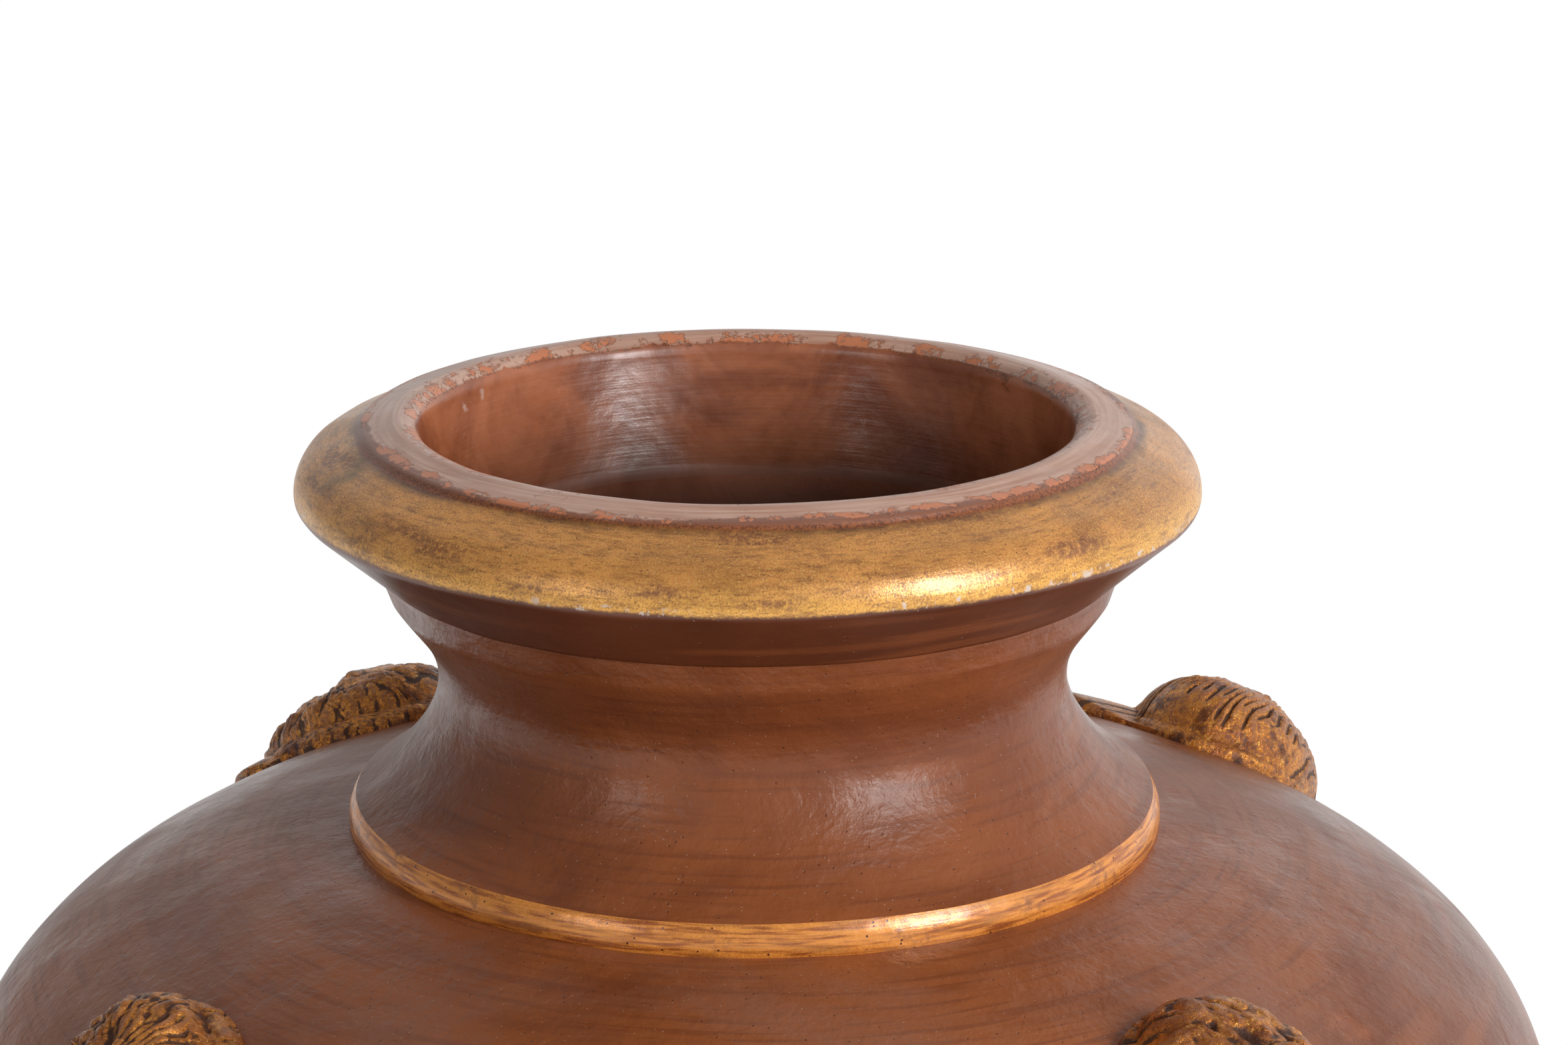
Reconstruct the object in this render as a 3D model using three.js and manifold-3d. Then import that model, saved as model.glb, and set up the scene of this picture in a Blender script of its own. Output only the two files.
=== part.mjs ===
import * as THREE from 'three';
import { mergeVertices } from 'three/addons/utils/BufferGeometryUtils.js';
import Module from 'manifold-3d';

// A large painted terracotta jar, thrown in sections that are luted together, with four
// press-moulded lion masks on its shoulder. Millimetres, +Z up, origin at the centre of the
// foot's underside. Azimuth 0 faces -Y and grows towards +X.

// Heights of the sections, from the floor up
const footHeight = 28;
const lowerBodyHeight = 407.5;
const shoulderHeight = 115.2;
const filletHeight = 11.2;
const neckHeight = 85.3;
const rimHeight = 52.8;

// Outer radii
const footRadius = 128;
const bellyRadius = 290.5;
const waistRadius = 112.4;
const rimRadius = 160.3;

// Walls
const bodyWall = 20;
const neckWall = 17.4;
const floorThickness = 24;
const footWall = 32;

// Foot
const footSplay = 4;
const footRounding = 3;

// Lower body: how far its curve runs straight from the belly and from the foot
const bellyFullness = 175;
const footFullness = 150;
const footLean = 32;
const floorRounding = 40;

// Shoulder
const shoulderFall = 6;
const shoulderStart = 23.6;
const shoulderFullness = 88;
const openingRounding = 8;

// Gilded fillet at the foot of the neck
const filletTaper = 2.2;
const openingFlare = 5;

// Neck
const waistHeight = 43.1;
const flareReach = 31;
const flareAngle = 30;
const flareFullness = 18.3;
const waistFullnessBelow = 14.3;
const waistFullnessAbove = 14.3;
const collarReach = 16;
const collarHeight = 10.6;
const collarTaper = 3.8;
const coveAngle = 56;
const coveFullness = 13.1;

// Rim: a roll with a stepped lip on it
const rollRadius = 17.3;
const rollTuckRadius = 4.5;
const rollMiddle = 26.2;
const rollCrownTurn = 70;
const rollTuckTurn = 46;
const stepInset = 23;
const stepFootDrop = 5.2;
const stepBatter = 1.7;
const lipFall = 2.8;
const lipWidth = 20.6;
const lipRounding = 8;
const lipCrownTurn = 78;
const rimWallAtNeck = 24;

// Lion masks: a low mane of two tiers of locks, with a long head in high relief on it. A
// share is how far out a place lies, from 0 in the middle to 1 at the mask's outline.
const maskHalfWidth = 45;
const maskHalfLength = 59;
const maneRelief = 7.5;
const maneEdge = 2;
const maneSquareness = 5;
const headHalfWidth = 32;
const headHalfLength = 54;
const headRelief = 15;
const headForward = 3;
const headSquareness = 2.6;
const headEasing = 0.6;
const crownWeight = 0.25;
const crownCalm = 0.6;
const faceShare = 0.62;
const tierShare = 0.81;
const tierGap = 0.03;
const tierRise = 1.5;
const maskLocks = 14;
const lockDepth = 4;
const lockReach = 0.07;
const lockSweep = 0.5;
const crestRelief = 5;
const crestGap = 12;
const crestSpread = 0.15;
const maskSeatGap = 0.3;
const maskKey = 6;

// Where each mask sits: its azimuth, how far down the shoulder's run its middle is as a share of
// that run, how many degrees its crown leans to the left, and its own size, because they are
// finished by hand
const maskPlaces = [
  { name: 'lion_mask_front_left', azimuth: -50, drop: 0.69, lean: 19, size: 1, crested: false },
  { name: 'lion_mask_front_right', azimuth: 40, drop: 0.603, lean: 5, size: 1, crested: false },
  { name: 'lion_mask_back_right', azimuth: 132.3, drop: 0.58, lean: 6, size: 1.05, crested: true },
  { name: 'lion_mask_back_left', azimuth: 219, drop: 0.62, lean: 0, size: 0.96, crested: false },
];

// The face, as soft swells over the head. Side and wide are shares of the mask's half width, down
// and long of its half length, and rise of the head's relief. Those with a side are mirrored.
// Down runs from the crown to the chin.
const faceSwells = [
  { part: 'furrow', side: 0, down: -0.424, wide: 0.067, long: 0.153, rise: -0.2 },
  { part: 'brow', side: 0.244, down: -0.254, wide: 0.178, long: 0.068, rise: 0.367 },
  { part: 'socket', side: 0.267, down: -0.085, wide: 0.133, long: 0.071, rise: -0.467 },
  { part: 'eye', side: 0.267, down: -0.085, wide: 0.08, long: 0.044, rise: 0.333 },
  { part: 'bridge', side: 0, down: -0.102, wide: 0.111, long: 0.203, rise: 0.333 },
  { part: 'nose', side: 0, down: 0.169, wide: 0.178, long: 0.071, rise: 0.467 },
  { part: 'muzzle', side: 0.178, down: 0.305, wide: 0.156, long: 0.102, rise: 0.467 },
  { part: 'mouth', side: 0, down: 0.458, wide: 0.2, long: 0.051, rise: -0.533 },
  { part: 'jowl', side: 0.289, down: 0.424, wide: 0.089, long: 0.068, rise: -0.267 },
  { part: 'chin', side: 0, down: 0.559, wide: 0.167, long: 0.076, rise: 0.4 },
  { part: 'cheek', side: 0.467, down: 0.085, wide: 0.133, long: 0.153, rise: 0.233 },
  { part: 'ear', side: 0.533, down: -0.424, wide: 0.111, long: 0.093, rise: 0.4 },
];

// Facets
const turns = 48;
const curveSteps = 9;
const innerSteps = 6;
const roundingSteps = 3;
const faceHalfSteps = Math.round(maskLocks / 2);
const innerTierRings = 3;
const outerTierRings = 4;
const meridianDivisions = 400;
const weldDistance = 1e-3;

const foot = 0;
const bodyFoot = foot + footHeight;
const belly = bodyFoot + lowerBodyHeight;
const filletFoot = belly + shoulderHeight;
const neckFoot = filletFoot + filletHeight;
const waist = neckFoot + waistHeight;
const rimFoot = neckFoot + neckHeight;
const mouth = rimFoot + rimHeight;

const neckFootRadius = waistRadius + flareReach;
const filletFootRadius = neckFootRadius + filletTaper;
const throatRadius = waistRadius - neckWall;
const openingRadius = throatRadius + openingFlare;
const collarFootRadius = waistRadius + collarReach;
const rimFootRadius = collarFootRadius + collarTaper;
const rimFootBore = rimFootRadius - rimWallAtNeck;
const stepFootRadius = rimRadius - stepInset;
const lipRadius = stepFootRadius - stepBatter;
const mouthRadius = lipRadius - lipWidth;

const radians = THREE.MathUtils.degToRad;
const at = (radius, height) => new THREE.Vector2(radius, height);

const clay = { color: 0x8a5340, roughness: 0.55, metalness: 0 };
const gilding = { color: 0xa9762f, roughness: 0.42, metalness: 0.55 };

// A point at a distance from another, along an angle over the horizontal.
function along(start, degrees, distance) {
  const angle = radians(degrees);
  return at(start.x + distance * Math.cos(angle), start.y + distance * Math.sin(angle));
}

function arc(centre, radius, fromDegrees, toDegrees, steps) {
  const points = [];
  for (let step = 0; step <= steps; step += 1) {
    points.push(along(centre, fromDegrees + ((toDegrees - fromDegrees) * step) / steps, radius));
  }
  return points;
}

// The same curve moved sideways by a distance; positive is to the right of its run.
function beside(curve, distance, steps) {
  const points = [];
  for (let step = 0; step <= steps; step += 1) {
    const point = curve.getPoint(step / steps);
    const run = curve.getTangent(step / steps);
    points.push(at(point.x + run.y * distance, point.y - run.x * distance));
  }
  return points;
}

// A body of revolution from a profile that goes up outside and down inside.
function turned(profile) {
  const geometry = new THREE.LatheGeometry(profile, turns);
  return geometry.rotateX(Math.PI / 2);
}

function closed(points) {
  return [...points, points[0].clone()];
}

function piece(name, geometry, finish) {
  const mesh = new THREE.Mesh(geometry, new THREE.MeshStandardMaterial(finish));
  mesh.name = name;
  return mesh;
}

// The outside of the body, from the foot up to the belly and on to the fillet.
const bodyFootEdge = at(footRadius, bodyFoot);
const bellyEdge = at(bellyRadius, belly);
const bellyInnerEdge = at(bellyRadius - bodyWall, belly);
const filletEdge = at(filletFootRadius, filletFoot);
const lowerCurve = new THREE.CubicBezierCurve(
  bodyFootEdge,
  along(bodyFootEdge, 90 - footLean, footFullness),
  at(bellyRadius, belly - bellyFullness),
  bellyEdge,
);
const shoulderCurve = new THREE.CubicBezierCurve(
  bellyEdge,
  at(bellyRadius, belly + shoulderFullness),
  along(filletEdge, -shoulderFall, shoulderStart),
  filletEdge,
);

function makeFootRing() {
  const outer = footRadius + footSplay;
  const inner = footRadius - footWall;
  return turned(closed([
    at(inner + footRounding, foot),
    at(outer - footRounding, foot),
    at(outer, foot + footRounding),
    at(footRadius, bodyFoot),
    at(inner, bodyFoot),
    at(inner, foot + footRounding),
  ]));
}

function makeLowerBody() {
  const floor = bodyFoot + floorThickness;
  const inside = beside(lowerCurve, -bodyWall, innerSteps).reverse().slice(1);
  const wall = inside.filter((point) => point.y > floor + floorRounding);
  const wallFoot = wall[wall.length - 1];
  const heel = new THREE.QuadraticBezierCurve(
    wallFoot,
    at(wallFoot.x - floorRounding / 2, floor),
    at(wallFoot.x - 2 * floorRounding, floor),
  );
  return turned([
    at(0, bodyFoot),
    ...lowerCurve.getPoints(curveSteps),
    bellyInnerEdge,
    ...wall,
    ...heel.getPoints(roundingSteps).slice(1),
    at(0, floor),
  ]);
}

function makeShoulder() {
  const underside = beside(shoulderCurve, -bodyWall, innerSteps).reverse().slice(0, -1);
  const edge = at(openingRadius + openingRounding, filletFoot - bodyWall + openingRounding);
  return turned(closed([
    ...shoulderCurve.getPoints(curveSteps),
    at(openingRadius, filletFoot),
    ...arc(edge, openingRounding, 180, 270, roundingSteps),
    ...underside,
    bellyInnerEdge,
  ]));
}

function makeNeckFillet() {
  return turned(closed([
    at(filletFootRadius, filletFoot),
    at(neckFootRadius, neckFoot),
    at(openingRadius, neckFoot),
    at(openingRadius, filletFoot),
  ]));
}

function makeNeck() {
  const edge = at(neckFootRadius, neckFoot);
  const waistPoint = at(waistRadius, waist);
  const collarFoot = at(collarFootRadius, rimFoot - collarHeight);
  const flare = new THREE.CubicBezierCurve(
    edge,
    along(edge, 180 - flareAngle, flareFullness),
    at(waistRadius, waist - waistFullnessBelow),
    waistPoint,
  );
  const cove = new THREE.CubicBezierCurve(
    waistPoint,
    at(waistRadius, waist + waistFullnessAbove),
    along(collarFoot, 180 + coveAngle, coveFullness),
    collarFoot,
  );
  const bore = new THREE.CubicBezierCurve(
    at(rimFootBore, rimFoot),
    at(throatRadius, waist + waistFullnessAbove),
    at(throatRadius, waist),
    at(openingRadius, neckFoot),
  );
  return turned(closed([
    ...flare.getPoints(curveSteps),
    ...cove.getPoints(innerSteps).slice(1),
    at(rimFootRadius, rimFoot),
    ...bore.getPoints(innerSteps),
  ]));
}

function makeRim() {
  const middle = rimFoot + rollMiddle;
  const tuck = at(rimRadius - rollTuckRadius, middle);
  const crown = at(rimRadius - rollRadius, middle);
  const lipCentre = at(mouthRadius + lipRounding, mouth - lipRounding);
  return turned(closed([
    at(rimFootRadius, rimFoot),
    ...arc(tuck, rollTuckRadius, -rollTuckTurn, 0, roundingSteps),
    ...arc(crown, rollRadius, 0, rollCrownTurn, innerSteps).slice(1),
    at(stepFootRadius, mouth - stepFootDrop),
    at(lipRadius, mouth - lipFall),
    along(lipCentre, lipCrownTurn, lipRounding),
    ...arc(lipCentre, lipRounding, 90, 180, roundingSteps),
    at(rimFootBore, rimFoot),
  ]));
}

// Swells and hollows of the face at a place on the mask.
function faceRise(across, down) {
  let rise = 0;
  for (const swell of faceSwells) {
    const sides = swell.side === 0 ? [0] : [-swell.side, swell.side];
    for (const side of sides) {
      const x = (across / maskHalfWidth - side) / swell.wide;
      const y = (down / maskHalfLength - swell.down) / swell.long;
      rise += headRelief * swell.rise * Math.exp(-x * x - y * y);
    }
  }
  return rise;
}

// A place on the body: its distance down from the fillet, its azimuth and its height above it.
const meridian = new THREE.CurvePath();
meridian.add(lowerCurve);
meridian.add(shoulderCurve);
meridian.arcLengthDivisions = meridianDivisions;
const meridianLength = meridian.getLength();
const shoulderRun = shoulderCurve.getLength();

function onBody(fromFillet, azimuth, across, height) {
  const share = 1 - fromFillet / meridianLength;
  const point = meridian.getPointAt(share);
  const run = meridian.getTangentAt(share);
  const angle = azimuth + across / point.x;
  const radius = point.x + run.y * height;
  return [radius * Math.sin(angle), -radius * Math.cos(angle), point.y - run.x * height];
}

// How much of the way a value has come from one bound to another, easing in and out.
const eased = THREE.MathUtils.smoothstep;

// The dome at a place on the mask, without its face and hair: the mane, and the head on it, which
// is fuller towards the crown.
function domeRise(across, down) {
  const share = Math.min(Math.hypot(across / maskHalfWidth, down / maskHalfLength), 1);
  const mane = maneRelief * Math.sqrt(1 - share ** maneSquareness);
  const sideways = across / headHalfWidth;
  const along = (down + headForward) / headHalfLength;
  const reach = Math.min(Math.hypot(sideways, along), 1);
  const fullness = 1 - crownWeight * (down / maskHalfLength);
  const head = headRelief * (1 - reach ** headSquareness) ** headEasing * fullness;
  return maneEdge + mane + head;
}

// A place on the face: from the middle of its square grid to a corner of it.
function facePlace(column, row) {
  const u = Math.SQRT2 * Math.sin((Math.PI / 4) * (column / faceHalfSteps - 1));
  const v = Math.SQRT2 * Math.sin((Math.PI / 4) * (row / faceHalfSteps - 1));
  const across = maskHalfWidth * faceShare * u * Math.sqrt(1 - (v * v) / 2);
  const down = maskHalfLength * faceShare * v * Math.sqrt(1 - (u * u) / 2);
  return { across, down, rise: domeRise(across, down) + faceRise(across, down) };
}

// A place in the mane: which tier of locks, how far along it, and the angle from the crown at
// which its spoke leaves the face. The locks sweep down on their way out, the outer ones come out
// between the inner ones, and all are calmer at the crown. A crest draws the crown's lock out
// towards the neck.
function manePlace(inner, reached, start, crest) {
  const innerRidge = Math.abs(Math.cos((maskLocks * start) / 2)) - 0.5;
  const outerRidge = Math.abs(Math.sin((maskLocks * start) / 2)) - 0.5;
  const tierStart = inner ? faceShare : tierShare + tierGap;
  const tierEnd = inner ? tierShare : 1;
  const tip = reached * (inner ? innerRidge : outerRidge) + (inner ? 0 : (1 - reached) * innerRidge);
  const share = tierStart + (tierEnd - tierStart) * reached + lockReach * tip;
  const root = eased(reached, 0, 0.5);
  const depth = lockDepth * (1 - crownCalm * Math.cos(start / 2) ** 4);
  const locks = inner ? root * (tierRise + depth * innerRidge) : depth * outerRidge;
  const swept = (share - faceShare) / (1 - faceShare);
  const angle = start + lockSweep * Math.sin(start) * swept;
  const ellipse = Math.hypot(Math.sin(angle) / maskHalfWidth, Math.cos(angle) / maskHalfLength);
  const drawn = Math.exp(-((start / crestSpread) ** 2)) * eased(share, tierShare, 1);
  const reach = share / ellipse + crest * drawn;
  const across = reach * Math.sin(angle);
  const down = -reach * Math.cos(angle);
  const face = faceRise(across, down) * (1 - eased(share, faceShare, 1));
  const crestRise = crest > 0 ? crestRelief * drawn : 0;
  return { across, down, rise: Math.max(domeRise(across, down) + locks + face, crestRise) };
}

// One mask: a square grid for the face, and rings of spokes round it for the mane. Its back goes
// a little into the body and is then cut to it.
function makeMaskBlank(place) {
  const spokes = 8 * faceHalfSteps;
  const faceSide = 2 * faceHalfSteps;
  const rings = innerTierRings + outerTierRings + 1;
  const azimuth = radians(place.azimuth);
  const drop = place.drop * shoulderRun;
  const crest = place.crested ? (drop - crestGap) / place.size - maskHalfLength : 0;
  const corners = [];
  const faces = [];
  const lean = radians(place.lean);
  const addCorner = ({ across, down, rise }) => {
    const sideways = across * Math.cos(lean) + down * Math.sin(lean);
    const downwards = down * Math.cos(lean) - across * Math.sin(lean);
    corners.push(...onBody(
      drop + place.size * downwards,
      azimuth,
      place.size * sideways,
      rise < 0 ? rise : place.size * rise,
    ));
  };
  const addQuad = (a, b, c, d, flipped) => {
    faces.push(...(flipped ? [a, b, d, b, c, d] : [a, b, c, a, c, d]));
  };

  for (let row = 0; row <= faceSide; row += 1) {
    for (let column = 0; column <= faceSide; column += 1) {
      addCorner(facePlace(column, row));
    }
  }
  const faceCorner = (column, row) => row * (faceSide + 1) + column;
  for (let row = 0; row < faceSide; row += 1) {
    for (let column = 0; column < faceSide; column += 1) {
      const left = column < faceHalfSteps;
      const above = row < faceHalfSteps;
      addQuad(
        faceCorner(column, row),
        faceCorner(column, row + 1),
        faceCorner(column + 1, row + 1),
        faceCorner(column + 1, row),
        left !== above,
      );
    }
  }

  const maneFirst = corners.length / 3;
  const spokeAngle = (spoke) => 2 * Math.PI * (spoke / spokes) - Math.PI / 4;
  for (let ring = 1; ring < rings; ring += 1) {
    const inner = ring <= innerTierRings;
    const outerRing = ring - innerTierRings - 1;
    const reached = inner ? ring / innerTierRings : outerRing / (outerTierRings - 1);
    for (let spoke = 0; spoke < spokes; spoke += 1) {
      addCorner(manePlace(inner, reached, spokeAngle(spoke), crest));
    }
  }
  for (let spoke = 0; spoke < spokes; spoke += 1) {
    addCorner({ ...manePlace(false, 1, spokeAngle(spoke), crest), rise: -maskKey });
  }
  addCorner({ across: 0, down: 0, rise: -maskKey });

  // The face's edge is the mane's first ring: along the top, down the right, and back.
  const faceEdge = (spoke) => {
    const side = Math.floor(spoke / faceSide);
    const step = spoke % faceSide;
    return [
      faceCorner(step, 0),
      faceCorner(faceSide, step),
      faceCorner(faceSide - step, faceSide),
      faceCorner(0, faceSide - step),
    ][side];
  };
  const ringCorner = (ring, spoke) => (
    ring === 0 ? faceEdge(spoke) : maneFirst + (ring - 1) * spokes + spoke
  );
  const back = corners.length / 3 - 1;
  for (let spoke = 0; spoke < spokes; spoke += 1) {
    const next = (spoke + 1) % spokes;
    const rightHalf = spoke >= faceHalfSteps && spoke < faceHalfSteps + spokes / 2;
    for (let ring = 0; ring < rings; ring += 1) {
      addQuad(
        ringCorner(ring, spoke),
        ringCorner(ring, next),
        ringCorner(ring + 1, next),
        ringCorner(ring + 1, spoke),
        rightHalf,
      );
    }
    faces.push(back, ringCorner(rings, spoke), ringCorner(rings, next));
  }
  const geometry = new THREE.BufferGeometry();
  geometry.setAttribute('position', new THREE.Float32BufferAttribute(corners, 3));
  geometry.setIndex(faces);
  return geometry;
}

const wasm = await Module();
wasm.setup();

function toSolid(geometry) {
  const bare = geometry.clone();
  bare.deleteAttribute('normal');
  bare.deleteAttribute('uv');
  const welded = mergeVertices(bare, weldDistance);
  const corners = welded.getAttribute('position').array;
  const faces = [];
  const index = welded.getIndex().array;
  for (let face = 0; face < index.length; face += 3) {
    const [a, b, c] = index.slice(face, face + 3);
    if (a !== b && b !== c && c !== a) {
      faces.push(a, b, c);
    }
  }
  return new wasm.Manifold(new wasm.Mesh({
    numProp: 3,
    vertProperties: Float32Array.from(corners),
    triVerts: Uint32Array.from(faces),
  }));
}

function toGeometry(solid) {
  const mesh = solid.getMesh();
  const geometry = new THREE.BufferGeometry();
  geometry.setAttribute('position', new THREE.BufferAttribute(mesh.vertProperties, 3));
  geometry.setIndex(new THREE.BufferAttribute(mesh.triVerts, 1));
  return geometry;
}

// What the masks' backs are cut to: the body's outside, larger by the seat gap.
function makeSeat() {
  return turned([
    at(0, bodyFoot),
    ...beside(lowerCurve, maskSeatGap, curveSteps),
    ...beside(shoulderCurve, maskSeatGap, curveSteps).slice(1),
    at(0, filletFoot + maskSeatGap),
  ]);
}

const group = new THREE.Group();
group.add(piece('foot_ring', makeFootRing(), clay));
group.add(piece('lower_body', makeLowerBody(), clay));
group.add(piece('shoulder', makeShoulder(), clay));
group.add(piece('neck_fillet', makeNeckFillet(), gilding));
group.add(piece('neck', makeNeck(), clay));
group.add(piece('rim', makeRim(), gilding));

const seat = toSolid(makeSeat());
for (const place of maskPlaces) {
  const mask = toSolid(makeMaskBlank(place)).subtract(seat);
  group.add(piece(place.name, toGeometry(mask), gilding));
}

export default group;
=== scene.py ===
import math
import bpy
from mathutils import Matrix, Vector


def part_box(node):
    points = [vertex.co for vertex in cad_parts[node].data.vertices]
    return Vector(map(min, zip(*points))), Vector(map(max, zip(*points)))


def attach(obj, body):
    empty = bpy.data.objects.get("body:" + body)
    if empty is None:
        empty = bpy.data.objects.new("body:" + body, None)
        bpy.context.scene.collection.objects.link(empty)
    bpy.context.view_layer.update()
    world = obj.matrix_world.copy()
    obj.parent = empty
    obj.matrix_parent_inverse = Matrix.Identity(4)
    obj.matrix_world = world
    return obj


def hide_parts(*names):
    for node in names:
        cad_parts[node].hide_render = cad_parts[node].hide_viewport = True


bl_info = {
    "name": "Painted terracotta vase",
    "version": (1, 0, 0),
    "blender": (4, 5, 0),
    "location": "View3D > Sidebar > Vase",
    "description": "Models a large painted and gilded terracotta vase round its packed frame",
    "category": "Object",
}

import bmesh
import bpy
import numpy as np
from bpy.props import FloatProperty, FloatVectorProperty, IntProperty, PointerProperty
from mathutils import Vector, noise

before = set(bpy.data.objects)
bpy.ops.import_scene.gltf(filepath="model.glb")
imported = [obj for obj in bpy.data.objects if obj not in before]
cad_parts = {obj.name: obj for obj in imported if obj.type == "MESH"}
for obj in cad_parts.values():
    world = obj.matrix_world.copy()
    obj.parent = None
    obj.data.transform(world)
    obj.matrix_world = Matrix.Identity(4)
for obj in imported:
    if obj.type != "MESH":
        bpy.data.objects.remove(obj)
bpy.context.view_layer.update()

MM = 0.001

# The heights and reaches of the frame's sections, in metres
FOOT_BOTTOM, BODY_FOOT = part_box("foot_ring")[0].z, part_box("foot_ring")[1].z
FOOT_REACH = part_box("foot_ring")[1].x
BELLY, BELLY_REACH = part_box("lower_body")[1].z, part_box("lower_body")[1].x
FILLET_FOOT, FILLET_FOOT_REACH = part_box("neck_fillet")[0].z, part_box("neck_fillet")[1].x
NECK_FOOT, NECK_FOOT_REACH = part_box("neck")[0].z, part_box("neck")[1].x
RIM_FOOT, RIM_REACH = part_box("rim")[0].z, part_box("rim")[1].x
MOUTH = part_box("rim")[1].z

# How far each curve runs straight from its ends, and the angles at which it leaves them
FOOT_LEAN = 32.0
FOOT_FULLNESS = 0.150
BELLY_FULLNESS = 0.175
SHOULDER_FULLNESS = 0.088
SHOULDER_FALL = 6.0
SHOULDER_START = 0.0236
FLARE_ANGLE = 30.0
FLARE_FULLNESS = 0.0183
WAIST_FULLNESS = 0.0143
COVE_ANGLE = 56.0
COVE_FULLNESS = 0.0131

# The collar under the rim, and the rim's roll, step and lip
COLLAR_REACH = 0.0160
COLLAR_HEIGHT = 0.0106
COLLAR_TAPER = 0.0038
RIM_WALL = 0.024
TUCK_RADIUS = 0.0045
TUCK_TURN = 46.0
CROWN_TURN = 70.0
STEP_DROP = 0.0052
STEP_BATTER = 0.0017
LIP_FALL = 0.0028
LIP_TURN = 78.0

# How far the fillet's round face turns from its flat one at each edge, in degrees
FILLET_SWELL = 27.0

# The foot ring, the rounding from the wall down to the floor inside, and the hole under the neck
FOOT_WEAR = 3 * MM
FOOT_SPLAY = 1.4 * MM
SPLAY_HEIGHT = 0.6
HEEL_RISE = 0.035
HEEL_RUN = 0.08
HOLE_MARGIN = 5 * MM
HOLE_ROUNDING = 0.008
HOLE_LAND = 0.012

# Edges sharper than this are rounded, by a width for each piece
SHARP_EDGE = math.radians(24)
EDGE_WIDTHS = {
    "foot_ring": 1.0 * MM, "lower_body": 0.4 * MM, "shoulder": 0.4 * MM,
    "neck_fillet": 1.2 * MM, "neck": 0.8 * MM, "rim": 0.8 * MM,
}

# The heights at which two sections are luted together and painted over
JOINTS = (BODY_FOOT, BELLY, FILLET_FOOT, NECK_FOOT, RIM_FOOT)


def length(name, default, description):
    """A size in metres that a user can change."""
    return FloatProperty(name=name, description=description, default=default, unit="LENGTH", precision=4)


def share(name, default, description):
    """A share from 0 to 1 that a user can change."""
    return FloatProperty(
        name=name, description=description, default=default, min=0.0, max=1.0, subtype="FACTOR"
    )


def power(name, default, description):
    """A lamp's power in watts."""
    return FloatProperty(name=name, description=description, default=default, unit="POWER")


def colour(name, default, description):
    """A paint colour as a screen shows it."""
    return FloatVectorProperty(
        name=name, description=description, default=default, min=0.0, max=1.0, subtype="COLOR_GAMMA"
    )


class VaseSizes(bpy.types.PropertyGroup):
    """The sizes of the turned sections that the frame's boxes don't give."""

    turns: IntProperty(name="Turns", description="Steps round each turned section", default=288, min=48)
    body_wall: length("Body wall", 0.020, "Thickness of the body")
    neck_wall: length("Neck wall", 0.0174, "Thickness of the neck at its waist")
    floor: length("Floor", 0.024, "Thickness of the vase's floor")
    foot_radius: length("Foot radius", 0.128, "Outer radius where the body stands on its foot ring")
    foot_wall: length("Foot ring wall", 0.032, "Width of the foot ring")
    waist_radius: length("Waist radius", 0.1124, "Outer radius of the neck at its narrowest")
    waist_height: length("Waist height", 0.0431, "From the neck's foot up to its waist")
    roll_radius: length("Roll radius", 0.0173, "Radius of the rim's roll")
    roll_middle: length("Roll middle", 0.0262, "From the rim's foot up to the roll's widest line")
    step_inset: length("Step inset", 0.023, "From the roll's widest line in to the step on it")
    lip_width: length("Lip width", 0.0206, "Width of the flat lip")
    lip_rounding: length("Lip rounding", 0.008, "Rounding of the lip into the mouth")
    lean: length("Lean", 0.0029, "How far the hand-set neck leans to the left at the mouth")
    unevenness: length("Unevenness", 0.0006, "How far the turned surfaces stray from true")


class MaskSizes(bpy.types.PropertyGroup):
    """The sizes of a lion mask."""

    half_width: length("Half width", 0.045, "Half the width of the mane")
    half_length: length("Half length", 0.059, "From the mask's middle to its crown or chin")
    mane_relief: length("Mane relief", 0.0075, "Rise of the mane over the shoulder")
    head_half_width: length("Head half width", 0.032, "Half the width of the head on the mane")
    head_half_length: length("Head half length", 0.054, "Half the length of the head on the mane")
    head_relief: length("Head relief", 0.015, "Rise of the head over the mane")
    lock_depth: length("Lock depth", 0.004, "Depth of the furrows between locks")
    strand_depth: length("Strand depth", 0.0007, "Depth of the tooled hair strokes")
    face_share: share("Face share", 0.62, "How far out the face reaches")
    tier_share: share("Tier share", 0.81, "How far out the inner tier of locks reaches")
    locks: IntProperty(name="Locks", description="Locks in each tier of the mane", default=14, min=6)
    steps: IntProperty(name="Steps", description="Grid steps across a mask", default=180, min=40)


class PaintColours(bpy.types.PropertyGroup):
    """The colours of the paints and of the clay."""

    brown: colour("Brown paint", (0.60, 0.335, 0.175), "Main paint of the body and neck")
    deep_brown: colour("Deep brown", (0.44, 0.225, 0.120), "Darker strokes of the brown paint")
    mauve: colour("Mauve bloom", (0.57, 0.42, 0.36), "Greyish bloom on the paint")
    clay: colour("Bare clay", (0.74, 0.44, 0.29), "Terracotta where the paint is worn off")
    gold: colour("Gold", (0.97, 0.67, 0.35), "Antique gold paint")
    dull_gold: colour("Dull gold", (0.70, 0.47, 0.24), "Rubbed gold paint")
    mask_gold: colour("Mask gold", (0.95, 0.62, 0.27), "Gold on the lion masks")
    mask_dull: colour("Dull mask gold", (0.68, 0.40, 0.17), "Rubbed gold on the lion masks")
    patina: colour("Patina", (0.25, 0.12, 0.06), "Dark brown wax in the hollows")


class StudioSettings(bpy.types.PropertyGroup):
    """The lamps of the studio."""

    key_power: power("Key power", 25.0, "Power of the right lamp")
    fill_power: power("Fill power", 4.1, "Power of the left lamp")
    surround: FloatProperty(
        name="Surround", description="Brightness of the white room", default=0.40, min=0.0
    )


# Outlines of the turned sections: points of (radius, height) in metres, up the outside


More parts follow.
